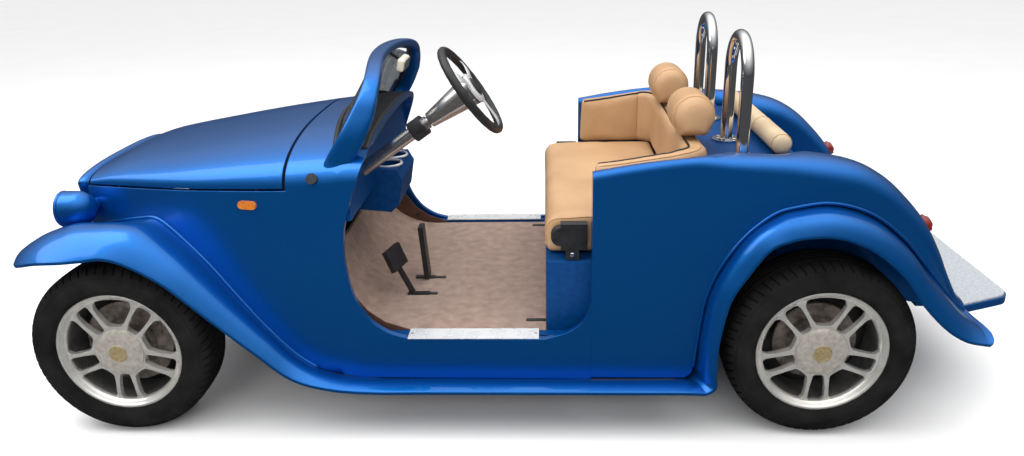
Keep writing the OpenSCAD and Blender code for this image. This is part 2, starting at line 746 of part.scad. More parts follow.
battery_h = 180;
battery_half_w = cabin_half_w - 153;

module battery_pack() color(black)
    box([seat_rear_x + seat_wall + 20, -battery_half_w, frame_top_z + seam],
        [seat_front_x - seat_wall - 40, battery_half_w, frame_top_z + seam + battery_h]);

cushion_half_w = cabin_half_w - belt_space;
cushion_front_x = seat_front_x + 10;
cushion_rear_x = 360;
cushion_r = 38;

module seat_cushion() color(tan) {
    z0 = seat_box_z + seam;
    z1 = z0 + cushion_t;
    side_plate(concat(
        [[cushion_rear_x, z0], [cushion_front_x - 8, z0], [cushion_front_x, z0 + 16]],
        arc([cushion_front_x - cushion_r, z1 - cushion_r], cushion_r, 0, 90),
        [[cushion_rear_x, z1 - 14]]), -cushion_half_w, 2 * cushion_half_w);
}

back_z0 = seat_box_z + cushion_t + 8;
back_top_z = 744;
back_rear_z = back_top_z + 30;
back_front_x = seat_front_x - 116;
back_rear_x = deck_front_x + seam;
arm_t = 52;
back_t = 70;
back_corner = 90;
back_half_w = cabin_half_w - 4;

// Backrest that wraps round into two arms, as a plan outline
module back_outline(inset_side, inset_back, front) {
    r = back_corner - inset_side / 2;
    w = back_half_w - inset_side;
    x0 = back_rear_x + inset_back;
    polygon(concat([[front, -w], [front, w]], arc([x0 + r, w - r], r, 90, 180),
        arc([x0 + r, r - w], r, 180, 270)));
}

module seat_back() color(tan) difference() {
    translate([0, 0, back_z0])
        linear_extrude(back_rear_z - back_z0) back_outline(0, 0, back_front_x);
    translate([0, 0, back_z0 - eps]) linear_extrude(far) back_outline(arm_t, back_t, back_front_x + eps);
    side_plate([
        [back_front_x + eps, back_z0 - eps], [back_front_x - 6, back_top_z],
        [headrest_x + headrest_r, back_rear_z],
        [headrest_x + headrest_r, far], [back_front_x + eps, far]], -far / 2, far);
}

headrest_y = cabin_half_w - 231;
headrest_w = 196;
headrest_r = 62;
headrest_base = 44;
headrest_x = deck_front_x + 30;

module headrests() color(tan) both_sides()
    side_plate(concat(
        [[headrest_x - headrest_base, back_rear_z + seam], [headrest_x + headrest_base, back_rear_z + seam]],
        arc([headrest_x, back_rear_z + 58], headrest_r, -25, 205, 16)),
        headrest_y - headrest_w / 2, headrest_w);

retractor_h = 72;
retractor_tab = 30;

module belt_retractors() color(black) both_sides() {
    y0 = cushion_half_w + 4;
    y1 = cabin_half_w - 4;
    low = seat_box_z + retractor_tab;
    box([seat_front_x - 112, y0, low], [seat_front_x - 40, y1, low + retractor_h]);
    translate([seat_front_x - 40, y0, low + retractor_h / 2]) rotate([-90, 0, 0])
        cylinder(r = retractor_h * 0.36, h = y1 - y0);
    box([seat_front_x - 90, y0, seat_box_z + seam], [seat_front_x - 54, y1, low + eps]);
}

// Hoops, bag roll and lamps

hoop_x = 200;
hoop_y = deck_half_w - hoop_inset;
hoop_bend = 80;
flange_r = 40;
flange_t = 6;

module roll_hoops() color(chrome) both_sides() translate([hoop_x, hoop_y, deck_z + seam]) {
    half = hoop_w / 2;
    leg = hoop_top_z - hoop_r - half - deck_z;
    for (s = [-1, 1]) translate([0, s * half, 0]) {
        cylinder(r = flange_r, h = flange_t);
        cylinder(r = hoop_r, h = leg);
    }
    translate([0, 0, leg]) rotate([90, 0, 90])
        rotate_extrude(angle = 180) translate([half, 0]) circle(r = hoop_r);
}

bag_roll_r = 33;
bag_roll_x = deck_rear_x + 46;

module bag_roll() color("tan")
    translate([bag_roll_x, -well_half_w + 4, deck_z + seam + bag_roll_r]) rotate([-90, 0, 0])
        cylinder(r = bag_roll_r, h = 2 * well_half_w - 8);

lamp_r = 51;
lamp_x = front_x + 153;
lamp_y = body_half_w - 166;
stalk_x = front_x + 126;
stalk_r = 15;
lamp_z = 602;
lamp_len = 38;
lens_bulge = 14;

module headlamp_shells() color(paint) both_sides() {
    translate([lamp_x, lamp_y, lamp_z]) rotate([0, -90, 0])
        rotate_extrude() polygon(concat([[0, -lamp_len], [lamp_r, -lamp_len]],
            arc([0, 0], lamp_r, 0, 90, 12)));
    difference() {
        rod([stalk_x, lamp_y - 112, lamp_z], [stalk_x, lamp_y - 30, lamp_z], stalk_r);
        front_solid(-2 * seam);
    }
}

module headlamp_lenses() color("white") both_sides() {
    r = (lamp_r * lamp_r + lens_bulge * lens_bulge) / (2 * lens_bulge);
    translate([lamp_x + lamp_len + seam, lamp_y, lamp_z]) rotate([0, 90, 0]) rotate_extrude()
        polygon(concat([[0, 0]], arc([0, lens_bulge + 4 - r], r, acos(lamp_r / r), 90, 8)));
}

// Lamps, and the discs set into the cowl, lie flat on the body side
marker_x = front_x - 373;
plug_x = front_x - 560;

marker_z = 640;
marker_r = 11;

module side_lamps() color("peru") both_sides() difference() {
    turn = atan2(side_y(marker_x - 20, marker_z) - side_y(marker_x + 20, marker_z), 40);
    translate([marker_x, side_y(marker_x, marker_z) - 3, marker_z]) rotate([-90, 0, -turn]) {
        for (s = [-1, 1]) translate([16 * s, 0, 0]) cylinder(r = marker_r, h = 11);
        translate([-16, -marker_r, 0]) cube([32, 2 * marker_r, 11]);
    }
    front_solid(-seam);
}

// Section of the front body at x, between two of its stations
function front_row(x) =
    let (i = [for (k = [0 : len(front_stations) - 2]) if (front_stations[k + 1][0] <= x) k][0],
        a = front_stations[i], b = front_stations[i + 1])
    lerp(a, b, (a[0] - x) / (a[0] - b[0]));

// Half width of the front body's outside at x and height z
function side_y(x, z) =
    let (r = front_row(x), u = (z - body_low_z) / (r[3] - body_low_z))
    lerp(r[1], r[2], min(u, 1)) + side_bulge * sin(180 * min(u, 1));

plug_z = 714;

// Half width of the front body's outside at x, at a height z above the belt
function crown_y(x, z) =
    let (r = front_row(x)) r[2] * power(1 - power((z - r[3]) / (r[4] - r[3]), crown_power), 1 / crown_power);

module cowl_plugs() color(black) both_sides() difference() {
    translate([plug_x, crown_y(plug_x, plug_z) - 4, plug_z]) rotate([-60, 0, 0]) cylinder(r = 15, h = 10);
    front_solid(-2 * seam);
}

tail_lamp_y = body_half_w - 119;
tail_lamp_z = 556;
tail_lamp_x = -283;

module tail_lamps() color("firebrick") both_sides() difference() {
    translate([tail_lamp_x, tail_lamp_y, tail_lamp_z]) rotate([0, -60, 0]) {
        translate([0, 0, -8]) cylinder(r = 25, h = 18);
        translate([0, 0, 10]) cylinder(r1 = 22, r2 = 14, h = 8);
    }
    quarter_solid(seam);
}

// Running gear

frame_y = 190;
rail_w = 44;
rail_h = 62;
frame_top_z = floor_z - floor_t - seam;
front_rise = 110;
rear_rise = 100;
beam_x = front_x;

// Side rails that step up over both axles
module frame() color(black) {
    low = frame_top_z - rail_h;
    f = frame_top_z + front_rise;
    r = frame_top_z + rear_rise;
    both_sides() side_plate([
        [front_x + 130, f], [front_x - 300, f], [front_x - 420, frame_top_z], [320, frame_top_z],
        [230, r], [-330, r], [-330, r - rail_h], [205, r - rail_h], [295, low], [front_x - 400, low],
        [front_x - 275, f - rail_h], [front_x + 130, f - rail_h]],
        frame_y - rail_w / 2, rail_w);
    w = frame_y - rail_w / 2;
    for (x = [front_x + 90, front_x - 230]) box([x - 20, -w, f - rail_h + 8], [x + 20, w, f - 8]);
    for (x = [front_x - 750, seat_front_x + 32, seat_rear_x + 64])
        box([x - 20, -w, low + 8], [x + 20, w, frame_top_z - 8]);
    for (x = [190, -305]) box([x - 20, -w, r - rail_h + 8], [x + 20, w, r - 8]);
}

yoke_gap = 60;
yoke_t = 14;
yoke_r = 24;
beam_r = 26;
boss_h = yoke_gap - 2;

// Beam between the kingpins, with an open yoke at each end
module front_axle() color(black) {
    w = kingpin_y - yoke_r - 14;
    translate([beam_x, -w, axle_z - 40]) rotate([-90, 0, 0]) cylinder(r = beam_r, h = 2 * w);
    both_sides() {
        low = axle_z - yoke_gap / 2 - yoke_t;
        high = axle_z + yoke_gap / 2;
        for (z = [low, high]) {
            translate([beam_x, kingpin_y, z]) cylinder(r = yoke_r, h = yoke_t);
            box([beam_x - yoke_r, w - 12, z], [beam_x + yoke_r, kingpin_y, z + yoke_t]);
        }
        box([beam_x - yoke_r, w - 12, low], [beam_x + yoke_r, w, high + yoke_t]);
        translate([beam_x, kingpin_y, low]) cylinder(r = kingpin_r, h = yoke_gap + 2 * yoke_t);
    }
}

spring_w = 50;
spring_t = 24;

// Bowed leaf pack between its two ends, over or under the axle
module leaf_spring(x, half_len, z_end, z_mid) {
    line = [for (k = [-4 : 4]) [x + half_len * k / 4, lerp(z_mid, z_end, k * k / 16)]];
    side_plate(concat(
        moved(line, [0, -spring_t / 2]), [for (k = [8 : -1 : 0]) line[k] + [0, spring_t / 2]]),
        -spring_w / 2, spring_w);
}

module front_springs() color(black) both_sides() translate([0, frame_y, 0]) {
    z = axle_z - 40 + beam_r + spring_t / 2 + seam;
    leaf_spring(front_x, 210, z + 24, z);
    top = frame_top_z + front_rise - rail_h - seam;
    for (x = [front_x - 205, front_x + 205])
        box([x - 14, -spring_w / 2, z + 14], [x + 14, spring_w / 2, top]);
}

tube_r = 30;
hub_face_y = wheel_y - 30;
stub_end_y = wheel_y + tyre_w / 2 - 50;
diff_r = 86;

module rear_axle() color("dimgray") {
    w = hub_face_y - 40;
    translate([0, -w, axle_z]) rotate([-90, 0, 0]) cylinder(r = tube_r, h = 2 * w);
    translate([0, 60, axle_z]) rotate([-90, 0, 0]) rotate_extrude()
        polygon([[0, -95], [58, -95], [diff_r, -45], [diff_r, 45], [58, 95], [0, 95]]);
    both_sides() {
        translate([0, w - 24, axle_z]) rotate([-90, 0, 0]) cylinder(r = 118, h = 18);
        translate([0, w, axle_z]) rotate([-90, 0, 0]) cylinder(r = stub_r, h = stub_end_y - w);
    }
}

module rear_springs() color(black) both_sides() translate([0, frame_y, 0]) {
    z = axle_z - tube_r - spring_t / 2 - seam;
    top = frame_top_z + rear_rise - rail_h - seam;
    leaf_spring(0, 190, z + 46, z);
    for (s = [-1, 1]) box([s * 182 - 12, -spring_w / 2, z + 40], [s * 182 + 12, spring_w / 2, top]);
}

motor_r = 72;

module drive_motor() color("dimgray") translate([-diff_r - motor_r - seam, -50, axle_z])
    rotate([-90, 0, 0]) cylinder(r = motor_r, h = 190);

// Knuckle with its kingpin boss, stub axle and steering arm
arm_z = axle_z - 18;

module knuckle() color("dimgray") difference() {
    union() {
        translate([front_x, kingpin_y, axle_z - boss_h / 2]) cylinder(r = 22, h = boss_h);
        translate([front_x, kingpin_y + 12, axle_z]) rotate([-90, 0, 0]) cylinder(r = 26, h = 22);
        translate([front_x, kingpin_y + 12, axle_z]) rotate([-90, 0, 0])
            cylinder(r = stub_r, h = stub_end_y - kingpin_y - 12);
        box([front_x - steer_arm, kingpin_y - 12, arm_z - 8], [front_x - 12, kingpin_y + 12, arm_z + 8]);
        translate([front_x - steer_arm, kingpin_y, arm_z - 8]) cylinder(r = 16, h = 16);
    }
    translate([front_x, kingpin_y, axle_z - far / 2]) cylinder(r = kingpin_r + bearing_gap, h = far);
}

tie_r = 9;

module tie_rod() color("dimgray") {
    z = arm_z - 8 - seam - 18;
    x = front_x - steer_arm;
    translate([x, -kingpin_y, z + 9]) rotate([-90, 0, 0]) cylinder(r = tie_r, h = 2 * kingpin_y);
    both_sides() translate([x, kingpin_y, z]) cylinder(r = 17, h = 18);
}

// Wheels, about their own middle with the outside towards +Y

rim_t = 7;
barrel_r = rim_r - 15;
bead_clear = 1.4;    // the tyre's beads bear on the flanges and stand clear of the barrel
face_y = tyre_w / 2 - 18;

module tyre() color(black) rotate([-90, 0, 0]) rotate_extrude($fn = 96) {
    h = tyre_w / 2;
    in_r = rim_r + bead_clear;
    seat_r = barrel_r + bead_clear;
    polygon(concat(
        arc([tyre_r - 26, h - 34], 26, 0, 75, 4), [[tyre_r - 46, h - 4], [tyre_r - 62, h]],
        [[in_r + 2, face_y + 6], [in_r, face_y + 2], [in_r, face_y - 2 - seam]],
        [[seat_r, face_y - 2 - seam], [seat_r, 2 + seam - face_y]],
        [[in_r, 2 + seam - face_y], [in_r, -2 - face_y], [in_r + 2, -6 - face_y]],
        [[tyre_r - 62, -h], [tyre_r - 46, 4 - h]], arc([tyre_r - 26, 34 - h], 26, -75, 0, 4)));
}

spoke_t = 20;
hub_outer_r = 56;

// Outline of one spoke, wider at both ends
function spoke_outline(side) =
    let (a = 19 * side, b = 30 * side, h = spoke_w / 2, r0 = hub_outer_r - 14, r1 = barrel_r - 3)
    [[r0, a - h - 4], [lerp(r0, r1, 0.4), lerp(a, b, 0.4) - h], [lerp(r0, r1, 0.75), lerp(a, b, 0.75) - h],
        [r1, b - h - 4], [r1, b + h + 4], [lerp(r0, r1, 0.75), lerp(a, b, 0.75) + h],
        [lerp(r0, r1, 0.4), lerp(a, b, 0.4) + h], [r0, a + h + 4]];

module wheel(disc) color(alloy) rotate([-90, 0, 0]) difference() {
    union() {
        rotate_extrude($fn = 96) polygon([
            [barrel_r - rim_t, 8 - face_y], [barrel_r - rim_t, face_y - 8], [rim_r - 8, face_y + 2],
            [rim_r, face_y + 2],
            [rim_r, face_y - 2], [barrel_r, face_y - 2], [barrel_r, 2 - face_y], [rim_r, 2 - face_y],
            [rim_r, -2 - face_y], [rim_r - 8, -2 - face_y]]);
        intersection() {
            for (k = [0 : spoke_pairs - 1], side = [-1, 1]) rotate(90 + 360 * k / spoke_pairs)
                translate([0, 0, face_y - spoke_t - 4]) linear_extrude(spoke_t) polygon(spoke_outline(side));
            cylinder(r = barrel_r - rim_t / 2, h = far);
        }
        translate([0, 0, face_y - 50]) cylinder(r = hub_outer_r, h = 44);
        translate([0, 0, face_y - 8]) cylinder(r = cap_r, h = 8);
        translate([0, 0, face_y]) cylinder(r1 = cap_r - 4, r2 = 30, h = 8);
        translate([0, 0, face_y - 74]) cylinder(r = 48, h = 30);
        translate([0, 0, face_y - 74]) cylinder(r = disc, h = 12);
    }
    translate([0, 0, -far]) cylinder(r = stub_r + bearing_gap, h = far + stub_end_y - wheel_y + 2);
}

module at_wheel(x, s) translate([x, s * wheel_y, axle_z]) mirror([0, s < 0 ? 1 : 0, 0]) children();

drum_r = 112;

placed() frame();
placed() front_axle();
placed() front_springs();
placed() rear_axle();
placed() rear_springs();
placed() drive_motor();
placed() battery_pack();
placed() floor();
placed() kick_panels();
placed() sill_beams();
placed() sill_plates();
placed() front_body();
placed() nose();
placed() grille();
placed() hood();
placed() hood_buffers();
placed() fender();  // fender_left
placed() mirror([0, 1, 0]) fender();  // fender_right
placed() quarter();  // quarter_left
placed() mirror([0, 1, 0]) quarter();  // quarter_right
placed() rear_deck();
placed() step_ledge();
placed() step_plate();
placed() windshield_frame();
placed() windshield_glass();
placed() rear_mirror();  // mirror
placed() dash();
placed() console();
placed() steering_column();
placed() column_switch();
placed() steering_wheel();
placed() steering_hub();
placed() brake_pedal();
placed() accelerator();
placed() seat_box();
placed() seat_cushion();
placed() seat_back();
placed() headrests();
placed() belt_retractors();
placed() roll_hoops();
placed() bag_roll();
placed() headlamp_shells();
placed() headlamp_lenses();
placed() side_lamps();
placed() tail_lamps();
placed() cowl_plugs();
placed() tie_rod();
placed() knuckle();  // knuckle_left
placed() mirror([0, 1, 0]) knuckle();  // knuckle_right
placed() at_wheel(front_x, 1) tyre();  // tyre_front_left
placed() at_wheel(front_x, -1) tyre();  // tyre_front_right
placed() at_wheel(0, 1) tyre();  // tyre_rear_left
placed() at_wheel(0, -1) tyre();  // tyre_rear_right
placed() at_wheel(front_x, 1) wheel(disc_r);  // wheel_front_left
placed() at_wheel(front_x, -1) wheel(disc_r);  // wheel_front_right
placed() at_wheel(0, 1) wheel(drum_r);  // wheel_rear_left
placed() at_wheel(0, -1) wheel(drum_r);  // wheel_rear_right
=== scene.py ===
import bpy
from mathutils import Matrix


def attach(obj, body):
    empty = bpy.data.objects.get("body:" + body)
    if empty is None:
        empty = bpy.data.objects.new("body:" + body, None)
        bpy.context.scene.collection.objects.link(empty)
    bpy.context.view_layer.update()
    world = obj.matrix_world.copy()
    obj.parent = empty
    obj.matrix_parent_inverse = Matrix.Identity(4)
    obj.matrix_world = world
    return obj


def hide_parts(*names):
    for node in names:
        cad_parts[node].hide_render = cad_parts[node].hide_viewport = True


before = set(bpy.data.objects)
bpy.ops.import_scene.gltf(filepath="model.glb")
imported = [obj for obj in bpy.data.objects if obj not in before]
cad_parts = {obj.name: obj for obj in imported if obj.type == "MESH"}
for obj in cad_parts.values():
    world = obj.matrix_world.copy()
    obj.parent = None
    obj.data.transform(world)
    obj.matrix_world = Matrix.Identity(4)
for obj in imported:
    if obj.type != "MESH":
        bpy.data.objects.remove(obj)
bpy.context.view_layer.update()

import math

import bmesh
import bpy
import numpy as np
from mathutils import Matrix, Vector
from mathutils.bvhtree import BVHTree

# Sizes are in millimetres, x forwards from the rear axle, as in the part's source
MIDDLE_X = 784.0  # the frame's origin
FRONT_X, TIP_X = 1900.0, 2183.0  # front axle and tips of the front fenders
BODY_W, LIP_Y = 515.0, 585.0  # half widths of the body and over the fenders' lips
BOARD_Z, SILL_Z = 150.0, 272.0
QUARTER_X = 607.0  # front edge of the rear quarters
TYRE_W, AXLE_Z, WHEEL_Y = 175.0, 252.0, 482.0
SIDES = (("left", 1), ("right", -1))
FAR = 900.0  # reach of a cutter past the body


def metres(points):
    """Points of this script in the frame's units and from its origin."""
    return (np.asarray(points, float) - (MIDDLE_X, 0, 0)) / 1000


def circle(steps):
    """Angles at equal steps round a circle."""
    return np.arange(steps) / steps * 2 * math.pi


# Materials

def node(tree, kind, links=(), **values):
    made = tree.nodes.new(kind)
    for key, value in values.items():
        if key in made.inputs:
            made.inputs[key].default_value = value
        else:
            setattr(made, key, value)
    for name, socket in links:
        tree.links.new(socket, made.inputs[name])
    return made


def material(name, colour, second, mix_scale, roughness, spread=0.08, metallic=0.0,
             grain=None, bevel=0.0, **shader):
    """Procedural material: two colours mixed by noise, uneven roughness, and a grain of (kind, scale, depth)."""
    made = bpy.data.materials.new(name)
    made.use_nodes = True
    tree = made.node_tree
    principled = tree.nodes["Principled BSDF"]
    place = node(tree, "ShaderNodeTexCoord").outputs["Object"]
    noise = node(tree, "ShaderNodeTexNoise", [("Vector", place)], Scale=mix_scale, Detail=6.0, Roughness=0.6)
    ramp = node(tree, "ShaderNodeValToRGB", [("Fac", noise.outputs["Fac"])])
    ramp.color_ramp.elements[0].position, ramp.color_ramp.elements[1].position = 0.35, 0.68
    ramp.color_ramp.elements[0].color = (*colour, 1)
    ramp.color_ramp.elements[1].color = (*second, 1)
    tree.links.new(ramp.outputs["Color"], principled.inputs["Base Color"])
    rough = node(tree, "ShaderNodeMapRange", [("Value", noise.outputs["Fac"])])
    rough.inputs["To Min"].default_value = max(0.02, roughness - spread)
    rough.inputs["To Max"].default_value = min(1.0, roughness + spread)
    tree.links.new(rough.outputs["Result"], principled.inputs["Roughness"])
    principled.inputs["Metallic"].default_value = metallic
    for key, value in shader.items():
        principled.inputs[key.replace("_", " ").title().replace("Ior", "IOR")].default_value = value
    normal = None
    if bevel:
        normal = node(tree, "ShaderNodeBevel", samples=4, Radius=bevel).outputs["Normal"]
        tree.links.new(normal, principled.inputs["Coat Normal"])
    if grain:
        kind, scale, depth = grain
        if kind == "cells":
            height = node(tree, "ShaderNodeTexVoronoi", [("Vector", place)], Scale=scale).outputs["Distance"]
        else:
            height = node(tree, "ShaderNodeTexNoise", [("Vector", place)], Scale=scale, Detail=3.0).outputs["Fac"]
        bump = node(tree, "ShaderNodeBump", [("Height", height)], Distance=depth, Strength=0.6)
        if normal:
            tree.links.new(normal, bump.inputs["Normal"])
        normal = bump.outputs["Normal"]
    if normal:
        tree.links.new(normal, principled.inputs["Normal"])
    return made


PAINT = material("blue_paint", (0.0005, 0.112, 0.42), (0.001, 0.142, 0.5), mix_scale=900, roughness=0.33, spread=0.04,
                 metallic=0.82, bevel=0.003, coat_weight=0.6, coat_roughness=0.03, specular_ior_level=0.2)
# The body's blue without flakes, made darker as painted shade for the parts inside the body
SHADED_INNER_PAINT = material("inner_paint_painted_shade", (0.0008, 0.035, 0.14), (0.001, 0.048, 0.18), mix_scale=60, roughness=0.4,
                       grain=("noise", 260, 0.0006), bevel=0.002, specular_ior_level=0.1)
RUBBER = material("tyre_rubber", (0.006, 0.006, 0.006), (0.014, 0.0135, 0.013), mix_scale=14, roughness=0.78,
                  grain=("noise", 900, 0.0004), specular_ior_level=0.12)
ALLOY = material("silver_alloy", (0.72, 0.7, 0.66), (0.84, 0.82, 0.78), mix_scale=45, roughness=0.2, metallic=0.7,
                 grain=("noise", 500, 0.0002), bevel=0.0012)
CAP_METAL = material("cap_metal", (0.4, 0.37, 0.33), (0.6, 0.56, 0.49), mix_scale=70, roughness=0.36, metallic=0.5,
                     grain=("noise", 300, 0.0002), bevel=0.001)
GOLD = material("gold_disc", (0.42, 0.32, 0.16), (0.56, 0.45, 0.25), mix_scale=120, roughness=0.3, metallic=0.6)
RUST = material("worn_iron", (0.09, 0.07, 0.06), (0.3, 0.26, 0.23), mix_scale=38, roughness=0.55, metallic=0.5,
                grain=("noise", 240, 0.0012))
CHROME = material("chrome", (0.72, 0.73, 0.75), (0.8, 0.81, 0.83), mix_scale=8, roughness=0.09, spread=0.04,
                  metallic=1.0)
SATIN_METAL = material("satin_metal", (0.56, 0.54, 0.51), (0.64, 0.62, 0.58), mix_scale=4, roughness=0.22, spread=0.04,
                       metallic=0.95)
VINYL = material("tan_vinyl", (0.43, 0.257, 0.132), (0.5, 0.312, 0.17), mix_scale=7, roughness=0.46, spread=0.1,
                 grain=("cells", 520, 0.0006), specular_ior_level=0.4)
PIPING = material("vinyl_piping", (0.4, 0.22, 0.1), (0.5, 0.29, 0.14), mix_scale=40, roughness=0.5,
                  grain=("cells", 700, 0.0004))
ROLL_VINYL = material("roll_vinyl", (0.5, 0.38, 0.24), (0.6, 0.47, 0.31), mix_scale=9, roughness=0.5,
                      grain=("cells", 480, 0.0006))
CARPET = material("floor_carpet", (0.24, 0.147, 0.107), (0.38, 0.248, 0.188), mix_scale=30, roughness=0.95, spread=0.04,
                  grain=("noise", 700, 0.004), sheen_weight=0.4)
BROWN = material("brown_trim", (0.07, 0.03, 0.018), (0.11, 0.05, 0.03), mix_scale=25, roughness=0.6,
                 grain=("cells", 420, 0.0007))
PLATE = material("bright_plate", (0.72, 0.73, 0.75), (0.82, 0.83, 0.84), mix_scale=20, roughness=0.28, metallic=0.4,
                 grain=("noise", 700, 0.0002), bevel=0.0008)
STIPPLE = material("stippled_step", (0.3, 0.325, 0.345), (0.46, 0.48, 0.5), mix_scale=120, roughness=0.7,
                   grain=("cells", 150, 0.003), bevel=0.001)
BLACK = material("black_plastic", (0.01, 0.01, 0.011), (0.022, 0.022, 0.024), mix_scale=50, roughness=0.45,
                 grain=("noise", 650, 0.0004), bevel=0.0012)
SATIN_BLACK = material("chassis_black", (0.012, 0.012, 0.013), (0.03, 0.028, 0.026), mix_scale=16, roughness=0.6,
                       grain=("noise", 220, 0.0008), bevel=0.0015)
# Dark cast metal, also laid on the rims' barrels as painted shade
CAST_AND_SHADE = material("cast_metal_and_barrel_shade", (0.1, 0.1, 0.1), (0.2, 0.19, 0.18), mix_scale=22, roughness=0.6, metallic=0.6,
                grain=("noise", 300, 0.0012), bevel=0.0015)
IVORY = material("ivory_plastic", (0.66, 0.62, 0.5), (0.74, 0.71, 0.6), mix_scale=20, roughness=0.3, bevel=0.002)
AMBER = material("amber_lens", (0.55, 0.14, 0.01), (0.75, 0.24, 0.02), mix_scale=90, roughness=0.16,
                 grain=("cells", 330, 0.0012), transmission_weight=0.25, coat_weight=0.6)
RED = material("red_lens", (0.2, 0.012, 0.008), (0.3, 0.02, 0.014), mix_scale=90, roughness=0.16,
               grain=("cells", 330, 0.0012), transmission_weight=0.25, coat_weight=0.6)
CLEAR = material("clear_lens", (0.85, 0.88, 0.9), (0.92, 0.94, 0.95), mix_scale=60, roughness=0.06, spread=0.03,
                 grain=("cells", 90, 0.002), transmission_weight=0.7)
GLASS = material("windshield_glass", (0.2, 0.215, 0.22), (0.25, 0.265, 0.27), mix_scale=3, roughness=0.03, spread=0.01,
                 transmission_weight=0.9, ior=1.3)


# Meshes

def smoothed(mesh):
    """Shades all faces of a mesh smooth."""
    mesh.polygons.foreach_set("use_smooth", [True] * len(mesh.polygons))


def add_mesh(name, points, faces, surface, body="chassis", smooth=True):
    """New piece from points in millimetres; it rides on a CAD body."""
    mesh = bpy.data.meshes.new(name)
    mesh.from_pydata(metres(points).tolist(), [], [list(f) for f in faces])
    mesh.validate()
    edit = bmesh.new()
    edit.from_mesh(mesh)
    bmesh.ops.recalc_face_normals(edit, faces=edit.faces)
    edit.to_mesh(mesh)
    edit.free()
    made = bpy.data.objects.new(name, mesh)
    bpy.context.collection.objects.link(made)
    made.data.materials.append(surface)
    if smooth:
        smoothed(mesh)
    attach(made, body)
    return made


def stand_for(piece, cad_node):
    """Hides the CAD node that the piece stands in for."""
    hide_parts(cad_node)


def grid_faces(rows, cols, wrap_rows=False, wrap_cols=False, start=0):
    """Quads of a grid of points."""
    return [(start + i * cols + j, start + i * cols + (j + 1) % cols,
             start + (i + 1) % rows * cols + (j + 1) % cols, start + (i + 1) % rows * cols + j)
            for i in range(rows if wrap_rows else rows - 1) for j in range(cols if wrap_cols else cols - 1)]


def shell(outer, inner):
    """Closed sheet between two grids of points."""
    rows, cols = outer.shape[:2]
    n = rows * cols
    rim = [i * cols for i in range(rows)] + [(rows - 1) * cols + j for j in range(1, cols)]
    rim += [i * cols + cols - 1 for i in range(rows - 2, -1, -1)] + [j for j in range(cols - 2, 0, -1)]
    sides = [(a, b, b + n, a + n) for a, b in zip(rim, rim[1:] + rim[:1])]
    return (np.concatenate([outer.reshape(-1, 3), inner.reshape(-1, 3)]),
            grid_faces(rows, cols) + grid_faces(rows, cols, start=n) + sides)


def tube_faces(rows, cols):
    """Faces of a tube of rings with closed ends."""
    ends = [tuple(range(cols)), tuple((rows - 1) * cols + j for j in range(cols))]
    return grid_faces(rows, cols, wrap_cols=True) + ends


def resampled(table, steps):
    """Rows of a table with smooth rows between them."""
    table = np.asarray(table, float)
    ends = np.concatenate([table[:1], table, table[-1:]])
    made = []
    for i in range(len(table) - 1):
        a, b, c, d = ends[i:i + 4]
        for k in range(steps):
            t = k / steps
            made.append((2 * b + (c - a) * t + (2 * a - 5 * b + 4 * c - d) * t * t
                         + (3 * b - a - 3 * c + d) * t ** 3) / 2)
    return np.array(made + [table[-1]])


def applied(piece):
    """Bakes the piece's modifiers into its mesh."""
    graph = bpy.context.evaluated_depsgraph_get()
    mesh = bpy.data.meshes.new_from_object(piece.evaluated_get(graph))
    piece.modifiers.clear()
    piece.data = mesh


def prism(outline, y0, y1):
    """Cutter: an outline in x and z between two values of y."""
    n = len(outline)
    points = [(x, y, z) for y in (y0, y1) for x, z in outline]
    faces = [tuple(range(n)), tuple(range(2 * n - 1, n - 1, -1))]
    faces += [(i, i + n, (i + 1) % n + n, (i + 1) % n) for i in range(n)]
    return points, faces


def cut(piece, points, faces, operation="DIFFERENCE"):
    tool = add_mesh("cutter", points, faces, PAINT, smooth=False)
    change = piece.modifiers.new("cut", "BOOLEAN")
    change.solver, change.operation, change.object = "EXACT", operation, tool
    applied(piece)
    bpy.data.objects.remove(tool)


def shade_like(piece, points, faces):
    """Gives the smooth loft's own normals to what is left of it after cutting."""
    loft = add_mesh("loft", points, faces, PAINT)
    loft.data.calc_loop_triangles()
    corners = [tuple(t.vertices) for t in loft.data.loop_triangles]
    spots = [v.co.copy() for v in loft.data.vertices]
    lean = [v.normal.copy() for v in loft.data.vertices]
    tree = BVHTree.FromPolygons(spots, corners)
    mesh = piece.data
    normals = [None] * len(mesh.loops)
    known = {}
    for face in mesh.polygons:
        for k in face.loop_indices:
            v = mesh.loops[k].vertex_index
            if v not in known:
                spot, _, index, _ = tree.find_nearest(mesh.vertices[v].co)
                a, b, c = corners[index]
                ab, ac, ap = spots[b] - spots[a], spots[c] - spots[a], spot - spots[a]
                d00, d01, d11, d20, d21 = ab.dot(ab), ab.dot(ac), ac.dot(ac), ap.dot(ab), ap.dot(ac)
                scale = d00 * d11 - d01 * d01 or 1e-12
                s, t = (d11 * d20 - d01 * d21) / scale, (d00 * d21 - d01 * d20) / scale
                known[v] = (lean[a] * (1 - s - t) + lean[b] * s + lean[c] * t).normalized()
            normals[k] = known[v] if known[v].dot(face.normal) > 0.8 else face.normal.copy()
    smoothed(mesh)
    mesh.normals_split_custom_set(normals)
    bpy.data.objects.remove(loft)


def rounded(piece, width, segments=3, angle=35):
    """Bevelled edges, in millimetres."""
    change = piece.modifiers.new("round", "BEVEL")
    change.width, change.segments = width / 1000, segments
    change.limit_method, change.angle_limit = "ANGLE", math.radians(angle)
    change.harden_normals = False
    return piece


def revolve(profile, steps, closed=False):
    """Points and faces of a profile of (radius, distance along y) turned about the y axis."""
    profile = np.asarray(profile, float)
    turn = circle(steps)
    grid = np.stack([
        np.outer(np.cos(turn), profile[:, 0]),
        np.broadcast_to(profile[:, 1], (steps, len(profile))),
        np.outer(np.sin(turn), profile[:, 0])], axis=-1)
    return grid.reshape(-1, 3), grid_faces(steps, len(profile), wrap_rows=True, wrap_cols=closed)


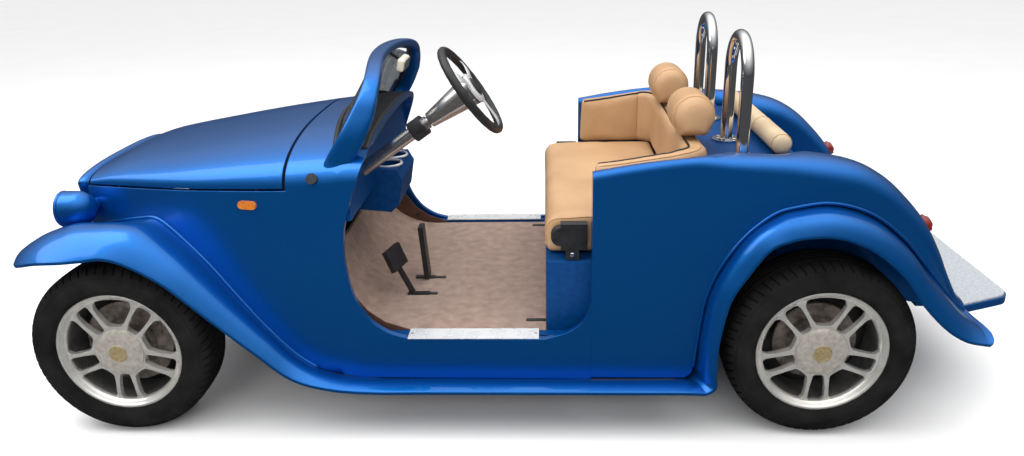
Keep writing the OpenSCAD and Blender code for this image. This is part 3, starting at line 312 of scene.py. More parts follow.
def tube(path, radius, sides=12, closed=False):
    """Points and faces of a round tube along points in millimetres."""
    path = np.asarray(path, float)
    n = len(path)
    radius = np.broadcast_to(radius, n)
    along = np.gradient(path, axis=0)
    if closed:
        along = np.roll(path, -1, axis=0) - np.roll(path, 1, axis=0)
    along /= np.linalg.norm(along, axis=1)[:, None]
    side = np.cross(along[0], (0.3, 0.5, 0.81))
    rings = []
    for i in range(n):
        side = side - along[i] * side.dot(along[i])
        side /= np.linalg.norm(side)
        up = np.cross(along[i], side)
        rings += [path[i] + radius[i] * (side * math.cos(a) + up * math.sin(a))
                  for a in circle(sides)]
    return np.array(rings), grid_faces(n, sides, True, True) if closed else tube_faces(n, sides)


def joined(parts):
    """One list of points and faces from several."""
    points, faces, n = [], [], 0
    for p, f in parts:
        points.append(np.asarray(p, float))
        faces += [tuple(i + n for i in g) for g in f]
        n += len(p)
    return np.concatenate(points), faces


def soft_box(size, radius, cuts=8):
    """Points and faces of a box with round edges about the origin."""
    half = np.array(size, float) / 2
    edit = bmesh.new()
    bmesh.ops.create_cube(edit, size=2)
    bmesh.ops.subdivide_edges(edit, edges=edit.edges[:], cuts=cuts, use_grid_fill=True)
    edit.verts.index_update()
    p = np.array([v.co[:] for v in edit.verts]) * half
    faces = [tuple(v.index for v in f.verts) for f in edit.faces]
    edit.free()
    inner = np.clip(p, radius - half, half - radius)
    out = p - inner
    out /= np.maximum(np.linalg.norm(out, axis=1), 1e-9)[:, None]
    return inner + out * radius, faces


# Front body

NOSE_TOP_Z, NOSE_CROWN = 655.0, 34.0
FRONT_ROWS = [  # x, half width at the board and at the belt, belt and top heights
    (FRONT_X + 150, BODY_W - 200, BODY_W - 232, NOSE_TOP_Z, NOSE_TOP_Z + NOSE_CROWN),
    (FRONT_X + 80, BODY_W - 163, BODY_W - 209, 658, 715),
    (FRONT_X, BODY_W - 123, BODY_W - 181, 661, 732), (FRONT_X - 110, BODY_W - 83, BODY_W - 144, 665, 750),
    (FRONT_X - 210, BODY_W - 55, BODY_W - 115, 669, 766), (FRONT_X - 340, BODY_W - 31, BODY_W - 86, 674, 785),
    (FRONT_X - 485, BODY_W - 18, BODY_W - 59, 680, 803), (FRONT_X - 610, BODY_W - 12, BODY_W - 45, 690, 813),
    (FRONT_X - 720, BODY_W - 8, BODY_W - 37, 700, 815), (QUARTER_X - 0.5, BODY_W - 1, BODY_W - 15, 710, 815)]
BEAD_FRONT = [(FRONT_X + 150, 532), (FRONT_X + 42, 561), (FRONT_X - 33, 577), (FRONT_X - 76, 582),
              (FRONT_X - 116, 566), (FRONT_X - 173, 525), (FRONT_X - 242, 464), (FRONT_X - 322, 376),
              (FRONT_X - 401, 288), (FRONT_X - 481, 210), (FRONT_X - 563, 165), (FRONT_X - 660, BOARD_Z)]
BEAD_REAR = [(332, BOARD_Z + 12), (329, 190), (322, 270), (308, 389), (275, 481), (217, 567), (146, 626), (86, 644),
             (12, 652), (-63, 637), (-130, 604), (-201, 546), (-248, 493), (-300, 430), (-350, 372), (-392, 334),
             (-420, 306)]
DOOR_FRONT = [(FRONT_X - 705, 790), (FRONT_X - 695, 757), (FRONT_X - 674, 697), (FRONT_X - 650, 629),
              (FRONT_X - 635, 559), (FRONT_X - 635, 473), (FRONT_X - 654, 385), (FRONT_X - 691, 324),
              (FRONT_X - 740, 288), (FRONT_X - 790, SILL_Z)]
DOOR_REAR = [(731, SILL_Z), (664, SILL_Z + 25), (624, SILL_Z + 62), (QUARTER_X, SILL_Z + 120)]
CROWN_POWER, SIDE_BULGE = 2.5, 7.0
BODY_T, HOOD_T, HOOD_GAP, COWL_GAP = 18.0, 10.0, 6.0, 9.0
HOOD_FRONT_X, HOOD_REAR_X, HOOD_FRONT_Z, HOOD_REAR_Z = FRONT_X + 146, FRONT_X - 485, 650.0, 682.0


def power(v, e):
    return np.sign(v) * np.abs(v) ** e


def curve(points, steps):
    """Smooth line through points, as a list."""
    return [tuple(p) for p in resampled(points, steps)]


def with_mirror(half, flip=(1, -1, 1)):
    """Half an outline followed by its mirror image."""
    return np.concatenate([half, (half * flip)[-2::-1]])


def bulged(low, high, u):
    """Half width at share u of the height of a side that bulges between its edges."""
    return low + (high - low) * u + SIDE_BULGE * np.sin(math.pi * u)


def front_row(x):
    """Row of the front body's table at a distance x."""
    rows = resampled(FRONT_ROWS, 10)[::-1]
    return [np.interp(x, rows[:, 0], rows[:, k]) for k in range(5)]


def crown_z(x, y):
    """Height of the front body's top at a place."""
    _, _, belt, belt_z, top = front_row(x)
    return belt_z + (top - belt_z) * max(0, 1 - (abs(y) / belt) ** CROWN_POWER) ** (1 / CROWN_POWER)


def front_section(row, inset, side_steps=16, crown_steps=26):
    """Outline of the front body across the car, drawn in by an inset."""
    x, low, belt, belt_z, top = row
    u = np.arange(side_steps) / side_steps
    a = np.linspace(0, math.pi / 2, crown_steps)
    y = np.concatenate([bulged(low, belt, u) - inset,
                        (belt - inset) * power(np.cos(a), 2 / CROWN_POWER)])
    z = np.concatenate([BOARD_Z + (belt_z - BOARD_Z) * u,
                        belt_z + (top - inset - belt_z) * power(np.sin(a), 2 / CROWN_POWER)])
    y[-1] = 0
    return with_mirror(np.stack([np.full_like(y, x), y, z], axis=-1))


def front_shell(thickness):
    rows = resampled(FRONT_ROWS, 10)
    return shell(np.array([front_section(r, 0) for r in rows]), np.array([front_section(r, thickness) for r in rows]))


def hood_outline(gap, cowl_gap):
    return [(HOOD_FRONT_X - gap, HOOD_FRONT_Z + gap), (HOOD_REAR_X + cowl_gap, HOOD_REAR_Z + gap),
            (HOOD_REAR_X + cowl_gap, HOOD_REAR_Z + 300), (HOOD_FRONT_X - gap, HOOD_REAR_Z + 300)]


def make_front_body():
    points, faces = front_shell(BODY_T)
    body = add_mesh("front_body_panel", points, faces, PAINT)
    arch = curve(BEAD_FRONT, 6) + [(FRONT_X - 660, 0), (TIP_X, 0), (TIP_X, 532)]
    door = curve(DOOR_FRONT, 8) + curve(DOOR_REAR, 8)
    door += [(QUARTER_X - 1, SILL_Z + 120), (QUARTER_X - 1, 1000), (FRONT_X - 705, 1000)]
    for outline in (hood_outline(0, 0), arch, door):
        cut(body, *prism(outline, -FAR, FAR))
    shade_like(body, points, faces)
    stand_for(body, "front_body")

    points, faces = front_shell(HOOD_T)
    hood = add_mesh("hood_panel", points, faces, PAINT, body="hood")
    cut(hood, *prism(hood_outline(HOOD_GAP, COWL_GAP), -FAR, FAR), operation="INTERSECT")
    shade_like(hood, points, faces)
    stand_for(hood, "hood")
    outer, inner = (np.array([front_section(front_row(HOOD_REAR_X + d), inset)[14:-14] for d in (-6, 5, 16)])
                    for inset in (13, 16))
    add_mesh("cowl_seal", *shell(outer, inner), BLACK)


# Fenders

FENDER_ROWS = [  # inner edge x, y, z, lip x, y, z, crown height
    (TIP_X - 10, 448, 500, TIP_X - 6, 476, 498, 3), (TIP_X - 36, 374, 508, TIP_X - 46, 548, 512, 24),
    (FRONT_X + 190, 318, 524, FRONT_X + 160, 578, 530, 46), (FRONT_X + 110, 316, 540, FRONT_X + 90, LIP_Y, 535, 60),
    (FRONT_X + 42, 342, 558, FRONT_X + 31, LIP_Y, 540, 56), (FRONT_X - 33, 370, 574, FRONT_X - 24, LIP_Y, 545, 46),
    (FRONT_X - 90, 390, 574, FRONT_X - 85, LIP_Y, 526, 42), (FRONT_X - 173, 418, 522, FRONT_X - 169, LIP_Y, 475, 32),
    (FRONT_X - 242, 438, 461, FRONT_X - 235, LIP_Y, 414, 28), (FRONT_X - 322, 458, 373, FRONT_X - 310, LIP_Y, 343, 25),
    (FRONT_X - 401, 473, 285, FRONT_X - 395, LIP_Y, 266, 22), (FRONT_X - 481, 486, 207, FRONT_X - 479, LIP_Y, 193, 18),
    (FRONT_X - 563, 492, 162, FRONT_X - 570, LIP_Y, 162, 14), (FRONT_X - 680, 496, 147, FRONT_X - 690, LIP_Y, 150, 11),
    (1000, 500, 147, 1000, LIP_Y, 150, 10), (420, 500, 147, 400, LIP_Y, 150, 10),
    (338, 484, 152, 292, LIP_Y, 153, 9), (326, 484, 195, 285, LIP_Y, 205, 12), (318, 484, 275, 284, LIP_Y, 290, 15),
    (303, 484, 388, 262, LIP_Y, 412, 18), (270, 484, 478, 224, LIP_Y, 484, 20), (213, 484, 563, 171, LIP_Y, 559, 22),
    (144, 484, 621, 116, LIP_Y, 584, 24), (86, 484, 640, 72, LIP_Y, 592, 24), (12, 484, 648, 12, LIP_Y, 592, 24),
    (-62, 484, 632, -54, LIP_Y, 573, 24), (-128, 484, 599, -114, LIP_Y, 538, 24),
    (-198, 482, 541, -180, LIP_Y, 478, 23), (-246, 480, 488, -238, LIP_Y, 400, 21),
    (-304, 476, 425, -302, LIP_Y - 1, 336, 19),
    (-352, 472, 367, -357, LIP_Y - 4, 302, 16), (-394, 468, 330, -406, LIP_Y - 9, 290, 11),
    (-404, 467, 326, -421, LIP_Y - 11, 289, 9), (-412, 467, 322, -430, LIP_Y - 20, 296, 6),
    (-416, 470, 320, -433, LIP_Y - 42, 306, 4)]
RIDGE_SKEW, FENDER_T = 1.35, 8.0


def make_fender(name, side):
    rows = resampled(FENDER_ROWS, 8)
    inner, lip = rows[:, :3], rows[:, 3:6]
    along = np.gradient(inner + lip, axis=0)
    up = np.cross(lip - inner, along)
    up /= np.linalg.norm(up, axis=1)[:, None]
    u = np.concatenate([np.linspace(-0.24, -0.04, 4), np.linspace(0, 1, 22)])
    lift = np.where(u > 0, np.sin(math.pi * np.maximum(u, 0) ** RIDGE_SKEW), 0)
    top = (inner[:, None] + (lip - inner)[:, None] * u[None, :, None]
           + up[:, None] * rows[:, 6][:, None, None] * lift[None, :, None])
    under = top - up[:, None] * FENDER_T
    points, faces = shell(top * (1, side, 1), under * (1, side, 1))
    fender = rounded(add_mesh(name + "_panel", points, faces, PAINT), 3)
    stand_for(fender, name)


# Rear body

QUARTER_ROWS = [  # x, half width at the board and the shoulder, top, shoulder depth, half width inside, bottom
    (QUARTER_X, BODY_W - 1, BODY_W - 15, 734, 24, BODY_W - 60, BOARD_Z),
    (480, BODY_W, BODY_W - 15, 755, 26, BODY_W - 60, BOARD_Z),
    (350, BODY_W, BODY_W - 16, 769, 30, BODY_W - 60, BOARD_Z),
    (250, BODY_W, BODY_W - 17, 770, 40, BODY_W - 116, 340), (130, BODY_W, BODY_W - 17, 764, 50, BODY_W - 116, 340),
    (40, BODY_W, BODY_W - 19, 761, 60, 340, 340), (-70, BODY_W - 2, BODY_W - 25, 739, 64, 340, 340),
    (-150, BODY_W - 4, BODY_W - 32, 698, 66, 340, 340), (-215, BODY_W - 6, BODY_W - 39, 640, 66, 340, 330),
    (-270, BODY_W - 8, BODY_W - 46, 577, 62, 340, 322), (-312, BODY_W - 10, BODY_W - 52, 508, 56, 340, 314),
    (-345, BODY_W - 12, BODY_W - 56, 440, 48, 340, 306), (-378, BODY_W - 14, BODY_W - 58, 378, 40, 340, 300),
    (-402, BODY_W - 17, BODY_W - 60, 350, 28, 340, 296)]
CAP_POWER, WELL_W, ARCH_GAP = 2.4, 340.0, 16.0


def quarter_ring(row):
    """Closed outline of a rear quarter across the car."""
    x, low, side, top, depth, inside, bottom = row
    inside, bottom = max(inside, WELL_W), max(bottom, BOARD_Z + 5)
    shoulder, mid, half = top - depth, (side + inside) / 2, (side - inside) / 2
    u = np.arange(14) / 14
    a = np.linspace(0, math.pi, 40)
    y = np.concatenate([bulged(low, side, u),
                        mid + half * power(np.cos(a), 2 / CAP_POWER), np.full(10, inside)])
    z = np.concatenate([bottom + (shoulder - bottom) * u, shoulder + depth * power(np.sin(a), 2 / CAP_POWER),
                        shoulder + (bottom - shoulder) * np.arange(1, 11) / 10])
    return np.stack([np.full_like(y, x), y, z], axis=-1)


def make_quarter(name, side):
    rings = np.array([quarter_ring(r) for r in resampled(QUARTER_ROWS, 8)])
    rows, cols = rings.shape[:2]
    points = rings.reshape(-1, 3) * (1, side, 1)
    faces = tube_faces(rows, cols)
    quarter = add_mesh(name + "_panel", points, faces, PAINT)
    outline = curve(BEAD_REAR, 6) + [(-1000, 300), (-1000, 0), (332, 0)]
    inner_y = WHEEL_Y - TYRE_W / 2 - ARCH_GAP
    cut(quarter, *prism(outline, *sorted((side * inner_y, side * FAR))))
    shade_like(quarter, points, faces)
    stand_for(quarter, name)


def make_beads(name, side):
    """Rolled edges where the fenders meet the body."""
    front = []
    for x, z in resampled(BEAD_FRONT, 6):
        _, low, belt, belt_z, _ = front_row(x)
        u = (z - BOARD_Z) / (belt_z - BOARD_Z)
        front.append((x, side * (bulged(low, belt, u) + 1), z))
    rows, rear = resampled(QUARTER_ROWS, 8)[::-1], []
    for x, z in resampled(BEAD_REAR, 6):
        if x > -400:
            low, edge, top, depth, bottom = (np.interp(x, rows[:, 0], rows[:, k]) for k in (1, 2, 3, 4, 6))
            bottom = max(bottom, BOARD_Z + 5)
            u = min(1, max(0, (z - bottom) / (top - depth - bottom)))
            rear.append((x, side * (bulged(low, edge, u) + 1), z))
    add_mesh(name, *joined([tube(line, 4.5, 10) for line in (front[:-8], rear[6:])]), PAINT)


make_front_body()
for word, sign in SIDES:
    make_fender("fender_" + word, sign)
    make_quarter("quarter_" + word, sign)
    make_beads("fender_bead_" + word, sign)

# Nose, headlamps and windshield

NOSE_X, NOSE_T = FRONT_X + 150.4, 38.0
NOSE_LOW_Z, NOSE_LOW_W, NOSE_TOP_W = 330.0, BODY_W * 0.3592, BODY_W * 0.5456
NOSE_EDGE, GRILLE_INSET, GRILLE_EDGE = 16.0, 40.0, 6.0
FIN_PITCH, FIN_DEPTH = 22.0, 3.0


def nose_ring(x, inset, corner=26.0, steps=24):
    """Outline of the nose with round lower corners and an arched top, drawn in by an inset."""
    z = np.linspace(NOSE_LOW_Z + inset, NOSE_TOP_Z - inset, steps)
    w = NOSE_LOW_W + (NOSE_TOP_W - NOSE_LOW_W) * ((z - NOSE_LOW_Z) / (NOSE_TOP_Z - NOSE_LOW_Z)) ** 0.8 - inset
    w -= corner - np.sqrt(np.maximum(0, corner ** 2 - np.maximum(0, corner - (z - z[0])) ** 2))
    a = np.linspace(0, math.pi / 2, 20)[1:]
    top_y = (NOSE_TOP_W - inset) * power(np.cos(a), 2 / CROWN_POWER)
    top_z = NOSE_TOP_Z - inset + NOSE_CROWN * power(np.sin(a), 2 / CROWN_POWER)
    top_y[-1] = 0
    y, z = np.concatenate([w, top_y]), np.concatenate([z, top_z])
    return with_mirror(np.stack([np.full_like(y, x), y, z], axis=-1))


def make_nose():
    a = np.linspace(0, math.pi / 2, 8)
    front = NOSE_X + NOSE_T
    rings = [nose_ring(NOSE_X, 0.5)]
    rings += [nose_ring(front - NOSE_EDGE * (1 - math.sin(v)), NOSE_EDGE * (1 - math.cos(v)) + 0.5) for v in a]
    rings += [nose_ring(front - GRILLE_EDGE * (1 - math.cos(v)), GRILLE_INSET - GRILLE_EDGE * (1 - math.sin(v)))
              for v in a]
    rings += [nose_ring(NOSE_X, GRILLE_INSET)]
    faces = grid_faces(len(rings), len(rings[0]), True, True)
    stand_for(add_mesh("nose_panel", np.concatenate(rings), faces, PAINT), "nose")


def across(outline, steps):
    """Rows of points from side to side of a mirrored outline's upright half."""
    half = outline[:len(outline) // 2]
    return np.array([[(x, y * t, z) for t in np.linspace(-1, 1, steps)] for x, y, z in half])


def make_grille_core():
    """Finned sheet behind the bars."""
    sheet = across(nose_ring(NOSE_X - 8, GRILLE_INSET - 9)[::2], 89)
    front = sheet.copy()
    front[..., 0] += FIN_DEPTH * np.abs(np.sin(sheet[..., 1] * math.pi / FIN_PITCH))
    add_mesh("grille_core", *shell(front, sheet - (3, 0, 0)), SATIN_BLACK)


BULKHEAD_X, BULKHEAD_Z, BULKHEAD_LEAN, RIB_PITCH = FRONT_X - 524, 300.0, 0.04, 66.0


def make_bulkhead():
    """Pressed panel between the toe board and the cowl."""
    outline = front_section(front_row(BULKHEAD_X + 10), 22, side_steps=30, crown_steps=16)
    sheet = across(outline[outline[:, 2] > BULKHEAD_Z], 81)
    rise = sheet[..., 2] - BULKHEAD_Z
    ribs = np.clip(np.cos(sheet[..., 1] * math.pi / RIB_PITCH) * 3, -1, 1) * np.clip((rise - 40) / 20, 0, 1)
    sheet[..., 0] = BULKHEAD_X + rise * BULKHEAD_LEAN + 3 * ribs
    add_mesh("bulkhead", *shell(sheet + (3, 0, 0), sheet), SATIN_BLACK)


LAMP = (FRONT_X + 153, BODY_W - 166, 602.0)
LAMP_R, LAMP_LEN, LENS_BULGE = 51.0, 38.0, 12.0


def turn_to_x(points, faces, centre):
    """A revolve about y laid along x, its top end forwards."""
    return points[:, [1, 0, 2]] + centre, faces


def make_headlamps():
    face = LAMP_LEN + 1
    shell_line = [(LAMP_R * math.sin(v), -LAMP_R * math.cos(v)) for v in np.linspace(0, math.pi / 2, 14)]
    shell_line += [(LAMP_R, LAMP_LEN * k / 4) for k in range(1, 5)]
    shell_line += [(LAMP_R - 2, LAMP_LEN + 0.3), (0.1, LAMP_LEN + 0.3)]
    bezel_line = [(LAMP_R - 3 + 4 * math.cos(v), face + 5 * math.sin(v)) for v in circle(12)]
    lens_line = [(LAMP_R - 4, face), (LAMP_R - 5, face + 3)]
    lens_line += [((LAMP_R - 5) * math.cos(v), face + 3 + LENS_BULGE * math.sin(v))
                  for v in np.linspace(0.1, 1.55, 10)]
    for word, side in SIDES:
        centre = np.array(LAMP) * (1, side, 1)
        arm = [(FRONT_X + 126, side * y, LAMP[2]) for y in np.linspace(BODY_W - 250, BODY_W - 190, 10)]
        arm = tube(arm, [15 + 6 * (k / 9) ** 3 for k in range(10)], 24)
        housing = joined([turn_to_x(*revolve(shell_line, 56), centre), arm])
        stand_for(add_mesh("headlamp_shell_" + word, *housing, PAINT), "headlamp_shells")
        bezel = turn_to_x(*revolve(bezel_line, 56, closed=True), centre)
        add_mesh("headlamp_bezel_" + word, *bezel, PAINT)
        lens = turn_to_x(*revolve(lens_line, 56), centre)
        stand_for(add_mesh("headlamp_lens_" + word, *lens, CLEAR), "headlamp_lenses")


SHIELD_W, SHIELD_FOOT_Z = BODY_W - 89, 738.0
SHIELD_ROWS = [  # half width and height
    (SHIELD_W - 12, 706), (SHIELD_W - 10, SHIELD_FOOT_Z), (SHIELD_W, 781), (SHIELD_W - 1, 823), (SHIELD_W - 14, 869),
    (SHIELD_W - 35, 912), (SHIELD_W - 79, 950), (SHIELD_W * 0.6, 973), (SHIELD_W * 0.31, 983), (0, 986)]
SHIELD_X, SHIELD_Z, RAKE, SWEEP = FRONT_X - 575, 815.0, 0.62, 80.0
SHIELD_SECTION = ((34.0, 86.0), (26.0, 60.0))  # width and depth of the frame at its foot and higher up
FLARE_H, TAPER_Z, TAPER_H = 62.0, 865.0, 85.0  # the flared foot, and where the frame thins towards its top


def shield_point(y, z):
    """Point on the glass at a place across the car and a height."""
    return np.array([SHIELD_X - (z - SHIELD_Z) * RAKE - SWEEP * (y / (SHIELD_W + 10)) ** 2, y, z])


def glass_foot(y):
    """Point where the glass meets the cowl."""
    z = 800.0
    for _ in range(12):
        z = crown_z(shield_point(y, z)[0], y)
    return shield_point(y, z)


def make_windshield():
    line = with_mirror(resampled(SHIELD_ROWS, 8), (-1, 1))
    spots = np.array([shield_point(y, z) for y, z in line])
    along = np.gradient(spots, axis=0)
    back = np.array([-1, 0, -RAKE]) / math.hypot(1, RAKE)
    a = circle(40)
    foot, head = np.array(SHIELD_SECTION)
    rings, seal = [], []
    for (y, z), spot, way in zip(line, spots, along):
        side = np.array([0, way[2], -way[1]]) / math.hypot(way[1], way[2])
        inward = side if side @ np.array([0, -y, 860 - z]) > 0 else -side
        w, t = foot + (head - foot) * min(1, max(0, z - SHIELD_FOOT_Z) / 190)
        flare = min(1.5, max(0, (SHIELD_FOOT_Z + FLARE_H - z) / FLARE_H) ** 2)
        top = min(1, max(0, (z - TAPER_Z) / TAPER_H))
        w, t, spot = w + 26 * flare, t - 14 * flare - 16 * top, spot - inward * 6 * flare
        middle = spot - (14 - 8 * top, 0, 0)
        rings += [middle + side * w / 2 * power(np.cos(v), 0.6) + (t / 2 * power(np.sin(v), 0.6), 0, 0) for v in a]
        seal.append(spot + inward * (w / 2) - back * 4)
    faces = tube_faces(len(line), 40)
    stand_for(add_mesh("windshield_surround", np.array(rings), faces, PAINT), "windshield_frame")
    edge = glass_foot(SHIELD_W - 16)[2]
    keep = [p for p, (_, z) in zip(seal, line) if z > edge + 8]
    low = [glass_foot(y) - back * 4 + (0, 0, 3) for y in np.linspace(-SHIELD_W + 22, SHIELD_W - 22, 60)]
    add_mesh("windshield_seal", *tube(keep + low, 7.0, 10, closed=True), BLACK)
    # Black sheet on the cowl's top behind the glass: painted shade for the dark, shadowed space there
    shade_sheet = []
    for y in np.linspace(-392, 392, 50):
        reach = glass_foot(y)[0] - 8
        shade_sheet.append([(x, y, crown_z(x, y)) for x in np.linspace(FRONT_X - 701, reach, 8)])
    shade_sheet = np.array(shade_sheet)
    add_mesh("dash_top_shade_sheet", *shell(shade_sheet + (0, 0, 2.5), shade_sheet - (0, 0, 2)), BLACK)


MIRROR, MIRROR_LEAN = np.array([1159.0, 0, 944]), math.radians(14)


def leaned(points):
    """Points of the mirror tipped back and put in place."""
    c, s = math.cos(MIRROR_LEAN), math.sin(MIRROR_LEAN)
    x, y, z = np.transpose(points)
    return np.stack([x * c - z * s, y, x * s + z * c], 1) + MIRROR


def make_mirror():
    points, faces = soft_box((24, 112, 40), 9)
    stand_for(add_mesh("mirror_housing", leaned(points), faces, IVORY), "mirror")
    stalk = [MIRROR + (6 + 30 * t, 0, 10 + 22 * t) for t in np.linspace(0, 1, 8)]
    add_mesh("mirror_stalk", *tube(stalk, 6.5, 14), BLACK)
    points, faces = soft_box((3, 100, 30), 1.4)
    add_mesh("mirror_face", leaned(points - (11.6, 0, 0)), faces, CHROME)


# Wheels

PAIRS = 5


def softened(outline, times=3):
    """Closed outline with its corners cut round."""
    p = np.asarray(outline, float)
    for _ in range(times):
        q = np.roll(p, -1, axis=0)
        p = np.stack([p * 0.75 + q * 0.25, p * 0.25 + q * 0.75], axis=1).reshape(-1, 2)
    return p


def spoke_edge(t, side, far):
    """Point on a spoke's edge at distance t along its pair's axis: the near or far edge of the spoke on one side."""
    middle = 19 + (t - 42) / 114 * 11
    half = 5.0 + 3.2 * abs((t - 112) / 40) ** 2
    return np.array([t, side * (middle + (half if far else -half))])


def turned(points, angle):
    c, s = math.cos(angle), math.sin(angle)
    return np.asarray(points) @ np.array([[c, s], [-s, c]])


def wheel_windows():
    slots = []
    for k in range(PAIRS):
        axis = -math.pi / 2 + k * 2 * math.pi / PAIRS
        inner = [np.array([70.0, 5])] + [spoke_edge(t, 1, False) for t in (72, 80, 96, 112, 128, 145)]
        inner += [np.array([153.0, y]) for y in (15, 0, -15)]
        inner += [spoke_edge(t, -1, False) for t in (145, 128, 112, 96, 80, 72)] + [np.array([70.0, -5])]
        slots.append(softened(turned(inner, axis)))
        step = 2 * math.pi / PAIRS
        first = [turned(spoke_edge(t, 1, True), axis) for t in (72, 82, 96, 112, 126, 139)]
        rim = [155 * np.array([math.cos(v), math.sin(v)]) for v in np.linspace(axis + 0.30, axis + step - 0.30, 9)]
        last = [turned(spoke_edge(t, -1, True), axis + step) for t in (139, 126, 112, 96, 82, 72)]
        slots.append(softened(first + rim + last))
    return slots


# Outlines that are turned about the axle: radius, and distance out from the wheel's middle
RIM_LINE = [(174, -71.5), (166, -71.5), (153, -60), (152, -40), (152, 0), (151, 40), (152, 50), (154.5, 57), (158, 62),
            (162, 65), (165, 67.5), (166.5, 70), (168.5, 71.3), (171.5, 71.5), (173.6, 70.4), (174, 68), (172.6, 66.4),
            (168, 64), (158.6, 61), (158.6, -60), (168, -64), (173.6, -66.5)]
PLATE_LINE = [(40, 61), (60, 63), (90, 65), (120, 64.5), (140, 62), (156, 57), (156, 45), (140, 47),
              (100, 46), (40, 40)]
CAP_LINE = [(0.1, 76.6), (12, 76.6), (23, 76.4), (25.5, 75.6), (27, 74.6), (28.5, 75.4), (40, 75), (54, 73.6),
            (62, 71.6), (66.5, 69), (68, 66), (68, 58), (44, 56), (0.1, 56)]
DISC_LINE = [(24.5, 77.2), (23.4, 78), (21.6, 78.1), (20.4, 77.4), (10, 77.6), (0.1, 77.7)]
ROTOR_LINE = [(48, -10.5), (118, -10.5), (121.6, -9), (121.6, -5.4), (112, -4.8), (112, -3.6), (121.6, -3),
              (121.6, 0.4), (118, 1.5), (76, 1.5), (72, 14), (48, 16)]
INNER_WEB = [(58, -36), (100, -35), (128, -38), (146, -44), (152.6, -50), (152.6, -54), (142, -48), (126, -42),
             (100, -39), (58, -40)]
TREAD_HALF = [(252, 0), (252, 3.4), (246, 3.6), (246, 8.6), (251.9, 8.8), (251.8, 24), (245.6, 24.2), (245.6, 30.2),
              (251.3, 30.4), (250.6, 44), (248.6, 53), (245, 61), (240, 68), (234, 73.2)]
SIDE_HALF = [(230, 76), (226, 78.4), (223.5, 80.8), (221, 80.6), (216, 82.4), (206, 85.4), (196, 87.2), (188, 86.6),
             (183, 84.4), (180, 80.4), (178.4, 76), (176.6, 73.4), (174.8, 71.2), (174.6, 60)]
PITCHES = 62
SHADED_BARREL_OUT = 48.0  # nearer the car than this, the rim's barrel gets the dark cast grey as painted shade


def tyre_mesh(centre, side):
    half = TREAD_HALF + SIDE_HALF
    line = np.array([(r, -y) for r, y in half[::-1]] + half[1:])
    turn, groove = [], []
    for k in range(PITCHES):
        for share, deep in ((0.0, 0), (0.4, 0), (0.80, 0), (0.815, 1), (0.985, 1)):
            turn.append((k + share) / PITCHES * 2 * math.pi)
            groove.append(deep)
    turn, groove = np.array(turn), np.array(groove)
    block = ((np.abs(line[:, 1]) > 32) & (line[:, 0] > 236)).astype(float) * 5.0
    block += ((np.abs(line[:, 1]) > 9.5) & (np.abs(line[:, 1]) < 23)).astype(float) * 3.0
    r = line[:, 0][None] - groove[:, None] * block[None]
    slant = turn[:, None] + line[:, 1][None] * 0.0012
    grid = np.stack([np.cos(slant) * r, np.broadcast_to(line[:, 1] * side, r.shape), np.sin(slant) * r], axis=-1)
    return (grid + centre).reshape(-1, 3), grid_faces(*r.shape, wrap_rows=True)


def make_wheel(name, x, side, front):
    body = "road_wheel_" + name
    centre = np.array([x, side * WHEEL_Y, AXLE_Z])

    def turned_part(part, line, steps, surface, closed=True):
        points, faces = revolve(line, steps, closed)
        return add_mesh(part + "_" + name, points * (1, side, 1) + centre, faces, surface, body)

    tyre = add_mesh("tyre_rubber_" + name, *tyre_mesh(centre, side), RUBBER, body)
    tyre.data.set_sharp_from_angle(angle=math.radians(32))
    stand_for(tyre, "tyre_" + name)
    plate = turned_part("spokes", PLATE_LINE, 144, ALLOY)
    reach = sorted((centre[1] + side * 30, centre[1] + side * 80))
    cut(plate, *joined([prism([(px + x, pz + AXLE_Z) for px, pz in slot], *reach) for slot in wheel_windows()]))
    rounded(plate, 3.4, 4, 38)
    smoothed(plate.data)
    stand_for(plate, "wheel_" + name)
    rotor = np.array(ROTOR_LINE)
    if not front:
        rotor[:, 0] = np.where(rotor[:, 0] > 110, rotor[:, 0] - 10, rotor[:, 0])
    for part, line, surface, closed in (("rim", RIM_LINE, ALLOY, True), ("hub_cap", CAP_LINE, CAP_METAL, False),
                                        ("cap_disc", DISC_LINE, GOLD, False), ("brake_rotor", rotor, RUST, True)):
        made = turned_part(part, line, 128, surface, closed)
        made.data.set_sharp_from_angle(angle=math.radians(30))
        if part == "rim":
            # The barrel inside the rim gets the dark cast grey: painted shade in the wheel's hollow
            made.data.materials.append(CAST_AND_SHADE)
            for face in made.data.polygons:
                face.material_index = int(abs(face.center.y) < (WHEEL_Y + SHADED_BARREL_OUT) / 1000)
        stand_for(made, "wheel_" + name)
    turned_part("wheel_web", INNER_WEB, 72, SATIN_BLACK)


make_nose()
make_grille_core()
make_bulkhead()
make_headlamps()
make_windshield()
make_mirror()
for word, sign in SIDES:
    make_wheel("front_" + word, FRONT_X, sign, True)
    make_wheel("rear_" + word, 0.0, sign, False)

# Seat, headrests and bag roll: each is blown up as cloth, and then gets its seams

PRESSURE, CLOTH_FRAMES = 4.0, 20


